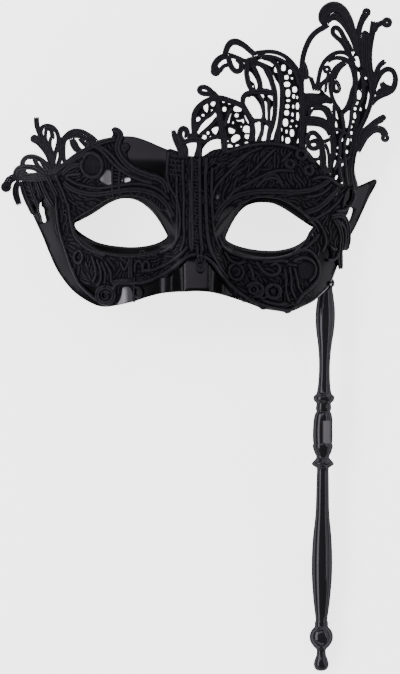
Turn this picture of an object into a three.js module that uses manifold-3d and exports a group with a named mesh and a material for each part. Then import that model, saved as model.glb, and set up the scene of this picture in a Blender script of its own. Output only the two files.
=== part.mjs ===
// A lace masquerade mask on a turned handle, lying face up as a loose mask lies on a table.
// Millimetres, +Z up, towards the viewer. The shell's two wing tips and the handle's big ball
// carry it, and the lace stands a little clear of the table everywhere.
import * as THREE from 'three';
import { mergeVertices } from 'three/addons/utils/BufferGeometryUtils.js';
import Module from 'manifold-3d';

const wasm = await Module();
wasm.setup();

// The plan was drawn on squared paper. One square is half a millimetre, counted from the sheet's
// top left corner, and every [x, y] in the lists below is such a place on the sheet.
const SQUARE = 0.5;
const NOSE_LINE = 196;
const EYE_LINE = 225;
const SHEET_MIDDLE = [200.6, 337.33];

// The shell: 178 mm from wing tip to wing tip, 47 mm deep, moulded 1.2 mm thick.
const SHELL_THICKNESS = 1.2;
const FACE_TOP = 42.1;
const WRAP = { depth: 80, halfWidth: 92, centre: 0.6, flattest: 0.02 };
const FLARE = { perRise: 0.25, plume: 0.9, from: 25, softness: 8 };
const NOSE = { rise: 13, bridge: 3, width: 10, spread: 4, from: 20, to: -35, gone: 45 };
const SOCKET = { depth: 4, across: 37, width: 24, height: 13 };
const BROW = { rise: 2.5, at: 22, height: 10 };
const CHEEK = { rise: 2, across: 45, at: -25, width: 18, height: 12 };
const PLUME = { lean: 0.14, from: 30, softness: 8 };
const STEEPEST = 2.2;
const SHELL_GRID = { reach: 96, fine: 4.5, fineReach: 18, coarse: 8.4, up: 48, step: 7.8 };
const OUTLINE_SLACK = 0.4;

// The lace: stiff corded net, 1.4 mm thick with its cords, laid 0.75 mm clear of the shell. Its
// faces are short where it follows the shell and may be longer where it stands free.
const LACE_THICKNESS = 1.4;
const LACE_GAP = 0.75;
const CORD_SLACK = 0.6;
const BUD_SIDES = 8;
const LAID_FACE = 12;
const FREE_FACE = 30;
const FREE_ABOVE = 38;
const TABLE_CLEARANCE = 0.8;
const TABLE_FLARE = 2;

// The handle: 198 mm long, its top ball seated behind the shell's right cheek.
const HANDLE_SIDES = 13;
const HANDLE_TOP = { at: [326.4, 284], height: 13.4 };
const HANDLE_BALL = { at: [321.5, 636], height: 5.35 };
const SEAT = { gap: 0.4, overRim: 1.01, depth: 30, half: 12, below: 8, above: 12, step: 4 };

const toPlan = ([x, y]) => new THREE.Vector2((x - NOSE_LINE) * SQUARE, (EYE_LINE - y) * SQUARE);

const bell = (distance, width) => Math.exp(-((distance / width) ** 2));
const rampUp = (distance, softness) => (distance + Math.hypot(distance, softness)) / 2;

// The height of the face's middle surface at u to the right of the nose line and v above the eyes.
function faceHeight(u, v) {
  const flare = FLARE.perRise * v + FLARE.plume * rampUp(v - FLARE.from, FLARE.softness);
  const across = (u - WRAP.centre) / (WRAP.halfWidth + flare);
  const side = Math.abs(u - WRAP.centre);
  const wrap = WRAP.depth * (1 - Math.sqrt(Math.max(WRAP.flattest, 1 - across ** 2)));
  const down = THREE.MathUtils.smoothstep(-v, -NOSE.from, -NOSE.to);
  const nose = (NOSE.bridge + NOSE.rise * down) * bell(side, NOSE.width + NOSE.spread * down)
    * (1 - THREE.MathUtils.smoothstep(v, NOSE.from, NOSE.gone));
  const socket = SOCKET.depth * bell(side - SOCKET.across, SOCKET.width) * bell(v, SOCKET.height);
  const brow = BROW.rise * bell(v - BROW.at, BROW.height);
  const cheek = CHEEK.rise * bell(side - CHEEK.across, CHEEK.width) * bell(v - CHEEK.at, CHEEK.height);
  const lean = PLUME.lean * rampUp(v - PLUME.from, PLUME.softness);
  return FACE_TOP - wrap + nose - socket + brow + cheek - lean;
}

// How much longer a wall measured straight up is than the same wall measured square to the face.
function steepness(u, v) {
  const step = 0.5;
  const alongU = (faceHeight(u + step, v) - faceHeight(u - step, v)) / (2 * step);
  const alongV = (faceHeight(u, v + step) - faceHeight(u, v - step)) / (2 * step);
  return Math.min(STEEPEST, Math.hypot(1, alongU, alongV));
}

function solidFrom(geometry) {
  const bare = geometry.index ? geometry.clone() : geometry;
  bare.deleteAttribute('normal');
  bare.deleteAttribute('uv');
  const merged = mergeVertices(bare, 1e-4);
  return new wasm.Manifold(new wasm.Mesh({
    numProp: 3,
    vertProperties: new Float32Array(merged.attributes.position.array),
    triVerts: new Uint32Array(merged.index.array),
  }));
}

function geometryFrom(solid) {
  const mesh = solid.getMesh();
  const geometry = new THREE.BufferGeometry();
  geometry.setAttribute('position', new THREE.BufferAttribute(mesh.vertProperties.slice(), 3));
  geometry.setIndex(new THREE.BufferAttribute(mesh.triVerts.slice(), 1));
  return geometry;
}

// Points along a smooth line, closer together where it bends, up to a longest chord.
const LONGEST_CHORD = 18;
function alongCurve(points, closed, slack) {
  const curve = new THREE.CatmullRomCurve3(
    points.map((point) => new THREE.Vector3(point.x, point.y, 0)), closed, 'centripetal');
  const place = (t) => {
    const point = curve.getPoint(closed ? t % 1 : t);
    return new THREE.Vector2(point.x, point.y);
  };
  const line = [];
  const between = (from, to, start, end) => {
    const middle = (from + to) / 2;
    const half = place(middle);
    const bend = half.distanceTo(start.clone().lerp(end, 0.5));
    if (bend > slack || (bend > slack / 3 && start.distanceTo(end) > LONGEST_CHORD)) {
      between(from, middle, start, half);
      between(middle, to, half, end);
    } else {
      line.push(end);
    }
  };
  const spans = closed ? points.length : points.length - 1;
  if (!closed) line.push(place(0));
  for (let span = 0; span < spans; span += 1) {
    const from = span / spans;
    const to = (span + 1) / spans;
    between(from, to, place(from), place(to));
  }
  return line;
}

function extrude(outline, holes, height) {
  const around = THREE.ShapeUtils.isClockWise(outline) ? [...outline].reverse() : outline;
  const shape = new THREE.Shape(around);
  shape.holes = holes.map((hole) => new THREE.Path(hole));
  return new THREE.ExtrudeGeometry(shape, { depth: height, bevelEnabled: false });
}

// The shell's outline, in stretches that run smoothly between its corners.
const SHELL_EDGES = {
  leftWing: [[18, 182], [20.5, 188], [27.5, 204], [41, 234.7], [55, 268.4], [72, 291], [96, 306],
    [120, 305.5], [147.4, 297.2], [190, 292]],
  rightCheek: [[190, 292], [222, 295], [261.4, 308.4], [288, 312], [322, 295], [337.5, 267.7],
    [349, 240.3], [363, 211.6], [376.5, 180.5]],
  rightTop: [[376.5, 180.5], [357.5, 186], [340, 183], [320, 165.6], [303.5, 147], [277, 141.5],
    [246, 143.5], [213, 151], [196, 156.5]],
  leftTop: [[196, 156.5], [169.5, 150.5], [134, 137], [108, 138], [77, 153.5], [50, 173], [36, 179],
    [18, 182]],
};
const LEFT_EYE = [[74, 223.5], [89.8, 215], [106.7, 204], [126.3, 198.7], [148.8, 208.8], [161.4, 225],
  [167, 237], [151.6, 244.8], [129, 247.1], [100, 243], [82, 234]];
const RIGHT_EYE = [[226, 239.5], [233.3, 221.4], [246, 206.6], [264.2, 202.7], [289.4, 212.3],
  [317, 228.5], [309, 236.5], [296.5, 245.2], [275, 250.6], [247, 248.5]];
const RIBBON_SLOTS = [
  [[39.5, 202.5], [43, 203.5], [45.8, 219], [44.5, 223], [41.5, 221], [38, 210]],
  [[352, 206.5], [355, 210], [349.5, 225], [346.3, 223], [346, 217]],
];

const BLANK_HEIGHT = 80;
function outlinePoints() {
  return Object.values(SHELL_EDGES).flatMap((edge) => (
    alongCurve(edge.map(toPlan), false, OUTLINE_SLACK).slice(1)));
}

// A slab that follows the face, between two offsets measured square to it.
function faceSlab(low, high, across, along) {
  const corners = [];
  const triangles = [];
  for (const offset of [low, high]) {
    for (const v of along) {
      for (const u of across) corners.push(u, v, faceHeight(u, v) + offset * steepness(u, v));
    }
  }
  const layer = across.length * along.length;
  const corner = (top, row, column) => top * layer + row * across.length + column;
  const quad = (a, b, c, d) => triangles.push(a, b, c, a, c, d);
  for (let row = 0; row + 1 < along.length; row += 1) {
    for (let column = 0; column + 1 < across.length; column += 1) {
      const ring = [[row, column], [row, column + 1], [row + 1, column + 1], [row + 1, column]];
      quad(...ring.map(([r, c]) => corner(1, r, c)));
      quad(...ring.reverse().map(([r, c]) => corner(0, r, c)));
    }
  }
  const lastRow = along.length - 1;
  const lastColumn = across.length - 1;
  const rim = [];
  for (let column = 0; column < lastColumn; column += 1) rim.push([0, column]);
  for (let row = 0; row < lastRow; row += 1) rim.push([row, lastColumn]);
  for (let column = lastColumn; column > 0; column -= 1) rim.push([lastRow, column]);
  for (let row = lastRow; row > 0; row -= 1) rim.push([row, 0]);
  rim.forEach(([row, column], index) => {
    const [nextRow, nextColumn] = rim[(index + 1) % rim.length];
    quad(corner(0, row, column), corner(0, nextRow, nextColumn),
      corner(1, nextRow, nextColumn), corner(1, row, column));
  });
  const geometry = new THREE.BufferGeometry();
  geometry.setAttribute('position', new THREE.Float32BufferAttribute(corners, 3));
  geometry.setIndex(triangles);
  return geometry;
}

// Grid lines from the nose line outwards, close over the nose ridge and wider on the wings.
function gridAcross({ reach, fine, fineReach, coarse }) {
  const half = [];
  for (let u = fine; u < reach; u += u < fineReach ? fine : coarse) half.push(u);
  return [...half.map((u) => -u).reverse(), 0, ...half].map((u) => u + WRAP.centre);
}

function gridAlong(low, high, step) {
  const count = Math.ceil((high - low) / step);
  return Array.from({ length: count + 1 }, (_, index) => low + (high - low) * (index / count));
}

// Everything under the table top, to cut a flat foot where a piece rests.
const TABLE = { width: 400, length: 600, depth: 20 };
function tableBlock() {
  const block = new THREE.BoxGeometry(TABLE.width, TABLE.length, TABLE.depth);
  return solidFrom(block.translate(0, 0, -TABLE.depth / 2));
}

function makeShell() {
  const slab = solidFrom(faceSlab(-SHELL_THICKNESS / 2, SHELL_THICKNESS / 2,
    gridAcross(SHELL_GRID), gridAlong(-SHELL_GRID.up, SHELL_GRID.up, SHELL_GRID.step)));
  const eyes = [LEFT_EYE, RIGHT_EYE].map((eye) => alongCurve(eye.map(toPlan), true, OUTLINE_SLACK));
  const slots = RIBBON_SLOTS.map((slot) => slot.map(toPlan));
  const blank = extrude(outlinePoints(), [...eyes, ...slots], BLANK_HEIGHT);
  return geometryFrom(slab.intersect(solidFrom(blank)).subtract(tableBlock()));
}

// A flat strip of lace of one width that follows a line, with cut ends.
function strip(width, line) {
  const left = [];
  const right = [];
  line.forEach((point, index) => {
    const before = line[Math.max(index - 1, 0)];
    const after = line[Math.min(index + 1, line.length - 1)];
    const side = new THREE.Vector2(before.y - after.y, after.x - before.x).setLength(width / 2);
    left.push(point.clone().add(side));
    right.push(point.clone().sub(side));
  });
  return extrude([...right, ...left.reverse()], [], LACE_THICKNESS);
}

function cord(width, points) {
  return strip(width, alongCurve(points.map(toPlan), false, CORD_SLACK));
}

// A woven knot in the lace or at the end of a sprig, round or drawn out upwards.
function bud(centre, radius, stretch = 1) {
  const middle = toPlan(centre);
  const edge = Array.from({ length: BUD_SIDES }, (_, index) => {
    const turn = (2 * Math.PI * (index + 0.5)) / BUD_SIDES;
    return new THREE.Vector2(
      middle.x + radius * Math.cos(turn), middle.y + radius * stretch * Math.sin(turn));
  });
  return extrude(edge, [], LACE_THICKNESS);
}

// Close lace, with the openings that show through it.
function plate(outline, openings) {
  return extrude(outline.map(toPlan), openings.map((opening) => opening.map(toPlan)), LACE_THICKNESS);
}

// A four-sided opening between the bars of a ladder or a net, in squares.
function pane([x, y], width, height) {
  return [[x - width / 2, y], [x, y - height / 2], [x + width / 2, y], [x, y + height / 2]];
}

// The lace in its parts. A cord has its width in millimetres and then its places on the sheet.
const FAN_LEAF = [
  plate([[193, 139], [190, 126], [191.5, 112], [197, 104.5], [205, 99], [216, 95.5], [228, 97.5],
    [240, 101.5], [247.5, 107], [252, 118], [254.5, 127], [253.5, 150], [228, 156], [222.5, 152],
    [221.5, 140], [216, 138.5], [207, 142], [203, 148], [200, 160], [195, 160], [198, 146]], [
    [[198, 131], [207, 120.5], [216, 112.5], [214, 121], [206, 128.5], [199.5, 134.5]],
    [[203.5, 108], [207.5, 103.5], [207.5, 113.5]],
    [[211, 131], [218, 127], [216, 134.5]],
    [[201.5, 137], [204, 135], [206.5, 140], [203, 143]],
    [[222, 108], [226, 108.5], [223.5, 112.5]],
    [[230.5, 112], [228.5, 123], [226.5, 121]],
    [[233, 109], [237, 106.5], [242, 110], [239, 112.5]],
    [[235, 121], [243, 119], [243.5, 124]],
    [[245.5, 115], [250, 123], [248, 124]],
    [[242.5, 132.5], [245, 127], [251, 126.5], [251, 132]],
    [[228.5, 128], [235.5, 131], [229, 133.5]],
    [[231, 141], [232, 136.5], [237, 134.5], [240, 138], [233.5, 143.5]],
    [[227, 145.5], [232, 145.5], [227.5, 151.5]],
  ]),
  cord(2.6, [[217, 99], [213, 91], [206, 89]]),
  bud([204, 91], 2.3),
];
const SMALL_LOOPS = [
  cord(2, [[174, 131], [174, 139], [182, 154]]),
  cord(1.8, [[182, 148], [179.5, 138], [182, 130.5], [186, 129.5], [190, 142]]),
  cord(2.2, [[180, 146], [187, 141], [199, 138]]),
];
const CREST = [
  plate([[246, 62], [250, 58], [257, 56], [259, 61], [265, 64], [271, 70], [276, 84], [278, 97],
    [277.5, 110], [275, 126], [270.5, 144], [252, 148], [254.5, 138], [254.5, 128], [250.5, 119.5],
    [244, 110.5], [240.5, 104], [240.5, 98.5], [244, 93.5], [249.5, 91], [246.5, 83], [244.5, 73]], [
    [[248.5, 73], [250.5, 71.5], [255, 79], [258, 87], [256, 90], [250, 82]],
    [[254.5, 68], [258.5, 66.5], [262, 70], [268, 80], [271, 89], [262, 88.5], [260.5, 78]],
    [[245, 101], [248, 97.5], [253, 97], [257, 101], [261, 109], [261.5, 116], [258, 119],
      [253, 118.5], [248, 110]],
    [[255.2, 122], [261, 122.5], [260, 132], [255.8, 142]],
    [[263.5, 102], [266, 102], [268, 119], [266, 121], [263.5, 106]],
    [[265.4, 125], [268.5, 128], [265, 141.5], [261, 141]],
    [[274.2, 105], [272.2, 124], [270.7, 125.3], [270.2, 110]],
    [[267.5, 97], [271.5, 95.5], [273.5, 101.5]],
  ]),
  cord(2.4, [[255, 57], [248, 49.5], [241, 44], [234, 42.3], [229, 44.5], [225.5, 56]]),
  cord(2.4, [[226, 54], [236, 57], [250, 63]]),
  cord(2.8, [[229, 57], [220, 58.5], [214.5, 65], [216, 75]]),
  cord(2.2, [[217.5, 74], [220, 68], [230, 62]]),
  cord(2.2, [[229, 60], [231, 66], [236.5, 71.5], [241, 68], [242, 62]]),
  cord(2, [[252, 57], [262, 52], [278, 53.5], [290, 62], [301, 76]]),
];
const LADDER = [
  plate([[257, 55], [268, 56.5], [279, 59], [288, 65.5], [294, 73], [298, 84], [303, 92], [303, 149],
    [276, 148], [279.5, 130], [281, 115], [282, 98], [280, 86], [275, 76], [268, 67], [274, 66],
    [273, 61], [258, 59]], [
    pane([276.3, 70.5], 3.5, 5),
    pane([283.5, 68.5], 4, 6.5),
    pane([286, 77.7], 4.5, 4.5),
    pane([287, 85], 6, 5.5),
    pane([288, 94.2], 4.5, 8),
    pane([287, 107], 5, 4.5),
    pane([286.7, 114], 5.5, 5.5),
    pane([285, 123], 6, 8),
    pane([285.5, 137], 5, 9),
    pane([294.5, 90.3], 5, 5.5),
    pane([297.4, 106.5], 3.5, 7),
    pane([297.3, 117], 3.5, 8.5),
    pane([296.5, 134], 4, 9),
  ]),
];
const TALL_STEM = [
  cord(2.4, [[300.5, 149], [302, 75], [304, 54], [311, 36], [321, 29.5], [329, 25]]),
  cord(2.8, [[303, 64], [306.5, 72], [303.5, 82]]),
  cord(7, [[302, 100], [331, 101]]),
  cord(4, [[304.5, 100], [305, 118], [304, 128]]),
  cord(2, [[311, 79], [316.5, 94]]),
];
const CAP = [
  cord(4.4, [[326, 28], [323.5, 16], [331, 7.5], [341, 11], [349, 24], [355, 40], [356.5, 58]]),
  cord(1.8, [[328, 28], [331, 20], [337, 19.5], [343, 27], [354, 47]]),
  cord(2, [[349, 53], [335, 29.5], [331.5, 34], [344, 48]]),
  cord(2, [[348, 50], [352, 60], [356, 80], [352, 94], [343, 113]]),
  cord(2.6, [[354, 60], [345, 55], [335, 55], [323, 62], [318, 76], [316.5, 94]]),
  cord(1.6, [[341, 62], [332, 72], [330, 90], [344, 113]]),
  cord(3.4, [[347, 62], [339, 68], [334.5, 80]]),
  bud([336.5, 86], 2.1, 1.6),
  bud([326.5, 69], 2.3),
  cord(1.6, [[327, 71], [331, 80]]),
];
const HOOKS = [
  cord(3.6, [[302, 122], [315, 120.5], [325, 124], [332, 134], [333, 144]]),
  cord(1.8, [[309, 108], [320, 108], [328, 117], [333, 130]]),
  cord(2, [[306, 150], [306, 138], [311, 131.5], [321, 142], [332, 140]]),
  cord(2, [[303, 143], [311, 149.5], [322, 141]]),
  cord(1.8, [[320, 141], [323, 156], [321, 170]]),
];
const STEM_BUNDLE = [
  plate([[330, 98], [343, 112], [352, 94], [356, 62], [372, 58], [372.5, 101], [367, 116], [358.5, 132],
    [357, 147], [354, 160], [354, 174], [357, 188], [338, 184], [332.5, 176], [331, 150], [332, 130]], [
    [[333.5, 110], [336, 110], [338, 127], [335, 127]],
    [[343.5, 114], [349.5, 112], [347, 128], [345.5, 128]],
    [[331.5, 143], [333, 150], [332.5, 166]],
    [[346, 144], [348, 138], [349.5, 139], [347.5, 145.5]],
    [[357, 73], [359.5, 76], [357.5, 82]],
    [[357.5, 92], [361, 93], [360, 100], [357.5, 99]],
    [[353, 118], [353.5, 108], [357, 108], [356, 119]],
    [[368.5, 91], [369, 98], [366, 109], [366, 102]],
    pane([364.5, 75], 2.5, 6),
    pane([343, 164], 2.5, 5),
  ]),
  cord(1.8, [[328.5, 140], [328.5, 153], [333, 174]]),
  cord(3.4, [[384.5, 134], [373, 132.5], [362, 142], [354, 160]]),
];
const RIGHT_SPRIGS = [
  cord(2.4, [[356, 50], [358, 36], [362, 20], [367, 12]]),
  bud([366.5, 13.5], 2),
  cord(3, [[365, 33], [366, 64]]),
  cord(2.2, [[373, 20], [370, 62]]),
  cord(1.8, [[371.5, 36], [377, 26], [383, 23]]),
  bud([385.5, 22.5], 2.7),
  cord(2.2, [[385, 61], [377, 71], [371, 95]]),
  cord(2.4, [[372, 97], [377, 80], [385, 71.5], [393, 74], [395, 82], [389, 91.5], [368, 106]]),
  cord(2.2, [[358, 133], [370, 123.5], [383, 117]]),
  bud([384.5, 136], 2.3),
];
const LEFT_SPRAY = [
  cord(2, [[37, 118.5], [38, 129], [53, 172]]),
  cord(2, [[34.5, 139], [42, 144], [48.5, 153]]),
  bud([34.5, 139], 1.7),
  cord(1.9, [[42, 140], [42, 129], [47, 125.5], [55.5, 129], [59, 141], [53, 172]]),
  cord(1.7, [[51, 126], [52, 141], [54, 160]]),
  cord(2.6, [[57, 172], [60, 146], [65, 136.5], [76, 132.5], [98, 144.5]]),
  cord(1.9, [[72, 136], [74, 145], [85, 155]]),
  cord(1.9, [[21.5, 168], [22.5, 160.5], [31, 156], [53, 171]]),
  cord(2.2, [[17.5, 178], [16, 170], [24, 167.3], [48, 175]]),
  cord(4, [[17, 177], [52, 175]]),
  cord(3, [[20, 176.5], [11, 178.5], [6.5, 186]]),
  cord(2.2, [[19, 177], [15.8, 186], [19.5, 204]]),
  cord(3, [[22, 179], [32, 207]]),
  cord(2.4, [[42, 178], [54, 205]]),
];
const LEFT_BROW = [
  cord(4, [[52, 176], [84, 152], [98, 145], [116, 140]]),
  bud([92.5, 165], 5),
  cord(3, [[111, 130], [121, 135], [118, 152], [132, 169], [172, 184]]),
  cord(3.4, [[58, 172], [68, 187], [93, 194], [146, 190], [162, 198], [170, 210]]),
  cord(2.6, [[133, 141], [150, 154], [167, 163], [182, 168], [196, 172]]),
];
const NOSE_BRAID = [
  cord(4, [[196, 158], [196, 200], [196, 224], [197, 242], [198.6, 258]]),
  cord(2.6, [[169, 154], [169, 186], [178, 200], [179, 230], [171, 249]]),
  cord(2.6, [[207, 158], [209, 232], [214, 252], [224, 268]]),
  bud([200.5, 268], 2.3),
  cord(1.8, [[198.6, 254], [199.5, 260], [200.5, 266]]),
];
const LEFT_CHEEK = [
  cord(2.6, [[57, 178], [57, 214], [79, 284]]),
  cord(3, [[68, 188], [70, 222], [84, 246], [108, 254], [140, 256], [180, 240]]),
  cord(2.6, [[88, 249], [91.4, 270], [78, 285]]),
  bud([106, 293], 4.6),
  cord(3, [[108, 289], [135, 284], [158, 278], [174, 270],
    [182, 265], [188, 261], [193, 258], [198, 256]]),
];
const RIGHT_CHEEK = [
  cord(3, [[194, 257], [203, 259], [210, 262], [222, 276], [244, 297], [266, 307], [290, 310]]),
  cord(3, [[222, 240], [229, 254], [257, 258], [288, 254], [322, 224]]),
  bud([231, 273], 4.4),
  cord(2, [[92, 158], [94, 148]]),
  cord(2.6, [[257, 257], [262, 280], [273, 291], [276, 305]]),
  cord(2.6, [[297, 252], [318.6, 270], [312, 284], [289, 309]]),
  bud([305.7, 270.7], 4.4),
];
const RIGHT_BROW = [
  cord(3.4, [[214, 236], [222, 210], [237, 196], [268, 190], [300, 191.5], [334, 174]]),
  cord(3, [[208, 178], [226, 168], [254, 144]]),
  cord(3, [[222, 206], [228, 188], [256, 158], [268, 144]]),
  cord(2.6, [[276, 190], [290, 164], [301, 146]]),
  cord(2.6, [[302, 190], [308, 168], [322, 168]]),
];
const RIGHT_WING = [
  cord(3, [[306, 214], [326, 206], [338, 193], [345, 182]]),
  cord(2.6, [[354, 184], [353.6, 197], [340, 210], [318, 214]]),
  cord(2.6, [[318, 214], [340, 215], [346, 220], [346, 248]]),
  cord(2.4, [[334, 215], [341, 238], [341, 269]]),
  cord(2.4, [[318, 214], [330, 232], [332, 258], [318.6, 268]]),
];

// New corners halfway along each edge that is too long to follow the face's curve.
function splitLongEdges(corners, triangles) {
  const tooLong = (a, b, length) => (
    length > (Math.min(corners[a].y, corners[b].y) > FREE_ABOVE ? FREE_FACE : LAID_FACE));
  const name = (a, b) => (a < b ? `${a},${b}` : `${b},${a}`);
  let faces = triangles;
  for (;;) {
    const middles = new Map();
    for (const face of faces) {
      const edges = face.map((a, index) => [a, face[(index + 1) % 3]]);
      const lengths = edges.map(([a, b]) => corners[a].distanceTo(corners[b]));
      const worst = lengths.indexOf(Math.max(...lengths));
      const [a, b] = edges[worst];
      if (tooLong(a, b, lengths[worst]) && !middles.has(name(a, b))) {
        middles.set(name(a, b), corners.push(corners[a].clone().lerp(corners[b], 0.5)) - 1);
      }
    }
    if (middles.size === 0) return faces;
    const divided = [];
    const divide = (a, b, c) => {
      for (const [p, q, r] of [[a, b, c], [b, c, a], [c, a, b]]) {
        const middle = middles.get(name(p, q));
        if (middle !== undefined) {
          divide(p, middle, r);
          divide(middle, q, r);
          return;
        }
      }
      divided.push([a, b, c]);
    };
    faces.forEach((face) => divide(...face));
    faces = divided;
  }
}

function makeLace() {
  const parts = [FAN_LEAF, SMALL_LOOPS, CREST, LADDER, TALL_STEM, CAP, HOOKS, STEM_BUNDLE,
    RIGHT_SPRIGS, LEFT_SPRAY, LEFT_BROW, NOSE_BRAID, LEFT_CHEEK, RIGHT_CHEEK, RIGHT_BROW, RIGHT_WING];
  const flat = geometryFrom(wasm.Manifold.union(parts.flat().map(solidFrom)));
  const places = flat.attributes.position;
  const corners = Array.from({ length: places.count }, (_, index) => (
    new THREE.Vector3().fromBufferAttribute(places, index)));
  const index = Array.from(flat.index.array);
  const triangles = Array.from({ length: index.length / 3 }, (_, face) => (
    index.slice(3 * face, 3 * face + 3)));
  const faces = splitLongEdges(corners, triangles);
  const clearance = SHELL_THICKNESS / 2 + LACE_GAP;
  for (const corner of corners) {
    const lift = (clearance + corner.z) * steepness(corner.x, corner.y);
    const height = faceHeight(corner.x, corner.y) + lift - TABLE_CLEARANCE;
    corner.z = TABLE_CLEARANCE + rampUp(height, TABLE_FLARE);
  }
  const geometry = new THREE.BufferGeometry().setFromPoints(corners);
  geometry.setIndex(faces.flat());
  return geometry;
}

// The handle's turning: squares along it from the top ball's middle, and the radius there. The top
// ball is hollowed where it sits under the shell, and stands past the shell's rim.
const TURNING = [[-8, 0], [-5.7, 5.7], [0, 8.1], [5, 5.8], [12, 7.4], [20, 8.6], [32, 9.3],
  [44, 8.7], [68, 5.7], [84, 5], [98, 5.4], [107, 6.4], [112, 9.7], [116, 9.4], [120, 6.9], [128, 7],
  [134, 8.6], [162, 9.8], [173, 6.2], [180, 10.5], [184, 5.5], [230, 6.4], [252, 8.4], [276, 9.9],
  [300, 9.2], [320, 7.4], [336, 5.2], [343, 7.7], [347, 10.2], [352, 11.3], [357, 10.6], [361, 8.4],
  [366, 4], [371, 4.3], [377, 6.4], [381, 7.1], [385, 6], [388, 0]];

function makeHandle() {
  const top = toPlan(HANDLE_TOP.at);
  const ball = toPlan(HANDLE_BALL.at);
  const from = new THREE.Vector3(top.x, top.y, HANDLE_TOP.height);
  const along = new THREE.Vector3(ball.x, ball.y, HANDLE_BALL.height).sub(from).normalize();
  const profile = TURNING.map(([length, radius]) => new THREE.Vector2(radius * SQUARE, length * SQUARE));
  const turned = new THREE.LatheGeometry(profile, HANDLE_SIDES);
  const turn = new THREE.Quaternion().setFromUnitVectors(new THREE.Vector3(0, 1, 0), along);
  turned.applyQuaternion(turn).translate(from.x, from.y, from.z);
  const inner = solidFrom(faceSlab(-SHELL_THICKNESS / 2 - SEAT.gap, SEAT.depth,
    gridAlong(top.x - SEAT.half, top.x + SEAT.half, SEAT.step),
    gridAlong(top.y - SEAT.below, top.y + SEAT.above, SEAT.step)));
  const rim = outlinePoints().map((point) => point.multiplyScalar(SEAT.overRim));
  const seat = inner.intersect(solidFrom(extrude(rim, [], BLANK_HEIGHT)));
  return geometryFrom(solidFrom(turned).subtract(seat).subtract(tableBlock()));
}

function addPiece(name, geometry, finish) {
  geometry.computeVertexNormals();
  const piece = new THREE.Mesh(geometry, new THREE.MeshStandardMaterial({ name, metalness: 0, ...finish }));
  piece.name = name;
  mask.add(piece);
}

const mask = new THREE.Group();
mask.name = 'lace_mask';
mask.position.set(
  (NOSE_LINE - SHEET_MIDDLE[0]) * SQUARE, (SHEET_MIDDLE[1] - EYE_LINE) * SQUARE, 0);
addPiece('mask_shell', makeShell(), { color: 0x1b1a1b, roughness: 0.25 });
addPiece('lace_applique', makeLace(), { color: 0x0b0b0c, roughness: 0.8 });
addPiece('handle', makeHandle(), { color: 0x121112, roughness: 0.15 });

export default mask;
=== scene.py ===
import math

import bpy
import numpy as np
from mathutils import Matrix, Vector, noise
from mathutils.geometry import delaunay_2d_cdt


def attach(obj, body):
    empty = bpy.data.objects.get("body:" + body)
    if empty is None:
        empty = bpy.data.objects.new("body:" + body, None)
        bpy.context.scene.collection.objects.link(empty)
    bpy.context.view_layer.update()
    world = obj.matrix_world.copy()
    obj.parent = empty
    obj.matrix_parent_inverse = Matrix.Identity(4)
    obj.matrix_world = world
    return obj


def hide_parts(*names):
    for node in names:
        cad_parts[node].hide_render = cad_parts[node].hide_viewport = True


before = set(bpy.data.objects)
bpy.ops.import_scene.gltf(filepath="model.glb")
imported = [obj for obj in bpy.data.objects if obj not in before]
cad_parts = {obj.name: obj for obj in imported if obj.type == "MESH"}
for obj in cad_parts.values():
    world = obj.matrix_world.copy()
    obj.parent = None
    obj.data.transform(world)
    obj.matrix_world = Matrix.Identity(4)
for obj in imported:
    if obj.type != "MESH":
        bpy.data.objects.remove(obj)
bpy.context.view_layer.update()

# A black lace masquerade mask on a turned handle, lying face up. Every (x, y) below is a place on a
# sheet of squares laid over the photo, half a millimetre to the square, counted from the sheet's top
# left corner. Heights and thicknesses are in millimetres until a mesh is made.
SQUARE = 0.5
MM = 0.001
SHEET_MIDDLE = (200.6, 337.33)
NOSE_LINE = 196
EYE_LINE = 225

SHELL_THICKNESS = 1.2
FACE_TOP = 42.1
# The face: places u to the right of the nose line and v up from the eye line, all in millimetres.
WRAP = dict(depth=80, half_width=92, centre=0.6, flattest=0.02)
FLARE = dict(per_rise=0.25, plume=0.9, start=25, softness=8)
NOSE = dict(rise=13, bridge=3, width=10, spread=4, start=20, end=-35, gone=45)
NOSE_BASE = dict(ridge=7.4, flat=5.6, foot=12.8, skirt=4, skirt_from=8.8, skirt_to=18.3, slope=0.27,
                 start=-4, full=-18, run=18)
SOCKET = dict(rise=-4, across=37, at=0, width=24, height=13)
BROW = dict(rise=2.5, at=31, height=10)
CHEEK = dict(rise=2, across=45, at=-25, width=18, height=12)
PLUME = dict(lean=0.14, start=30, softness=8)
STEEPEST = 2.2
EYE_LIP = dict(dip=3.2, width=3.2)

LACE_GAP = 0.3
NET_THICKNESS = 0.45
TABLE_CLEARANCE = 0.8
TABLE_FLARE = 2
CORD_SQUARES = 2.3
CORD_FULLNESS = 0.6
RIM_CORD = 1.7
RIM_INSET = 0.25
PLUME_EXTRA = 0.25
RIB_LENGTH = 0.32
RIB_DEPTH = 0.1

# Places between two given ones, how many are compared at once, and lengths and areas, in squares, too
# small to count.
PLACES_BETWEEN = 12
AT_ONCE = 4000
TINY = 1e-9
LEAST_GAP = 1e-6
SAME_PLACE = 1e-4
NO_AREA = 1e-7
# How near a grid place may lie to a line, as a share of the grid's spacing.
GRID_MARGIN = 0.6


# The face and lines on it

def bell(distance, width):
    return np.exp(-((distance / width) ** 2))


def ramp_up(distance, softness):
    return (distance + np.hypot(distance, softness)) / 2


def smoothstep(value, low, high):
    t = np.clip((value - low) / (high - low), 0, 1)
    return t * t * (3 - 2 * t)


def swell(side, v, rise, across, at, width, height):
    """A soft rise, or a hollow, on both sides of the nose."""
    return rise * bell(side - across, width) * bell(v - at, height)


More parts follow.
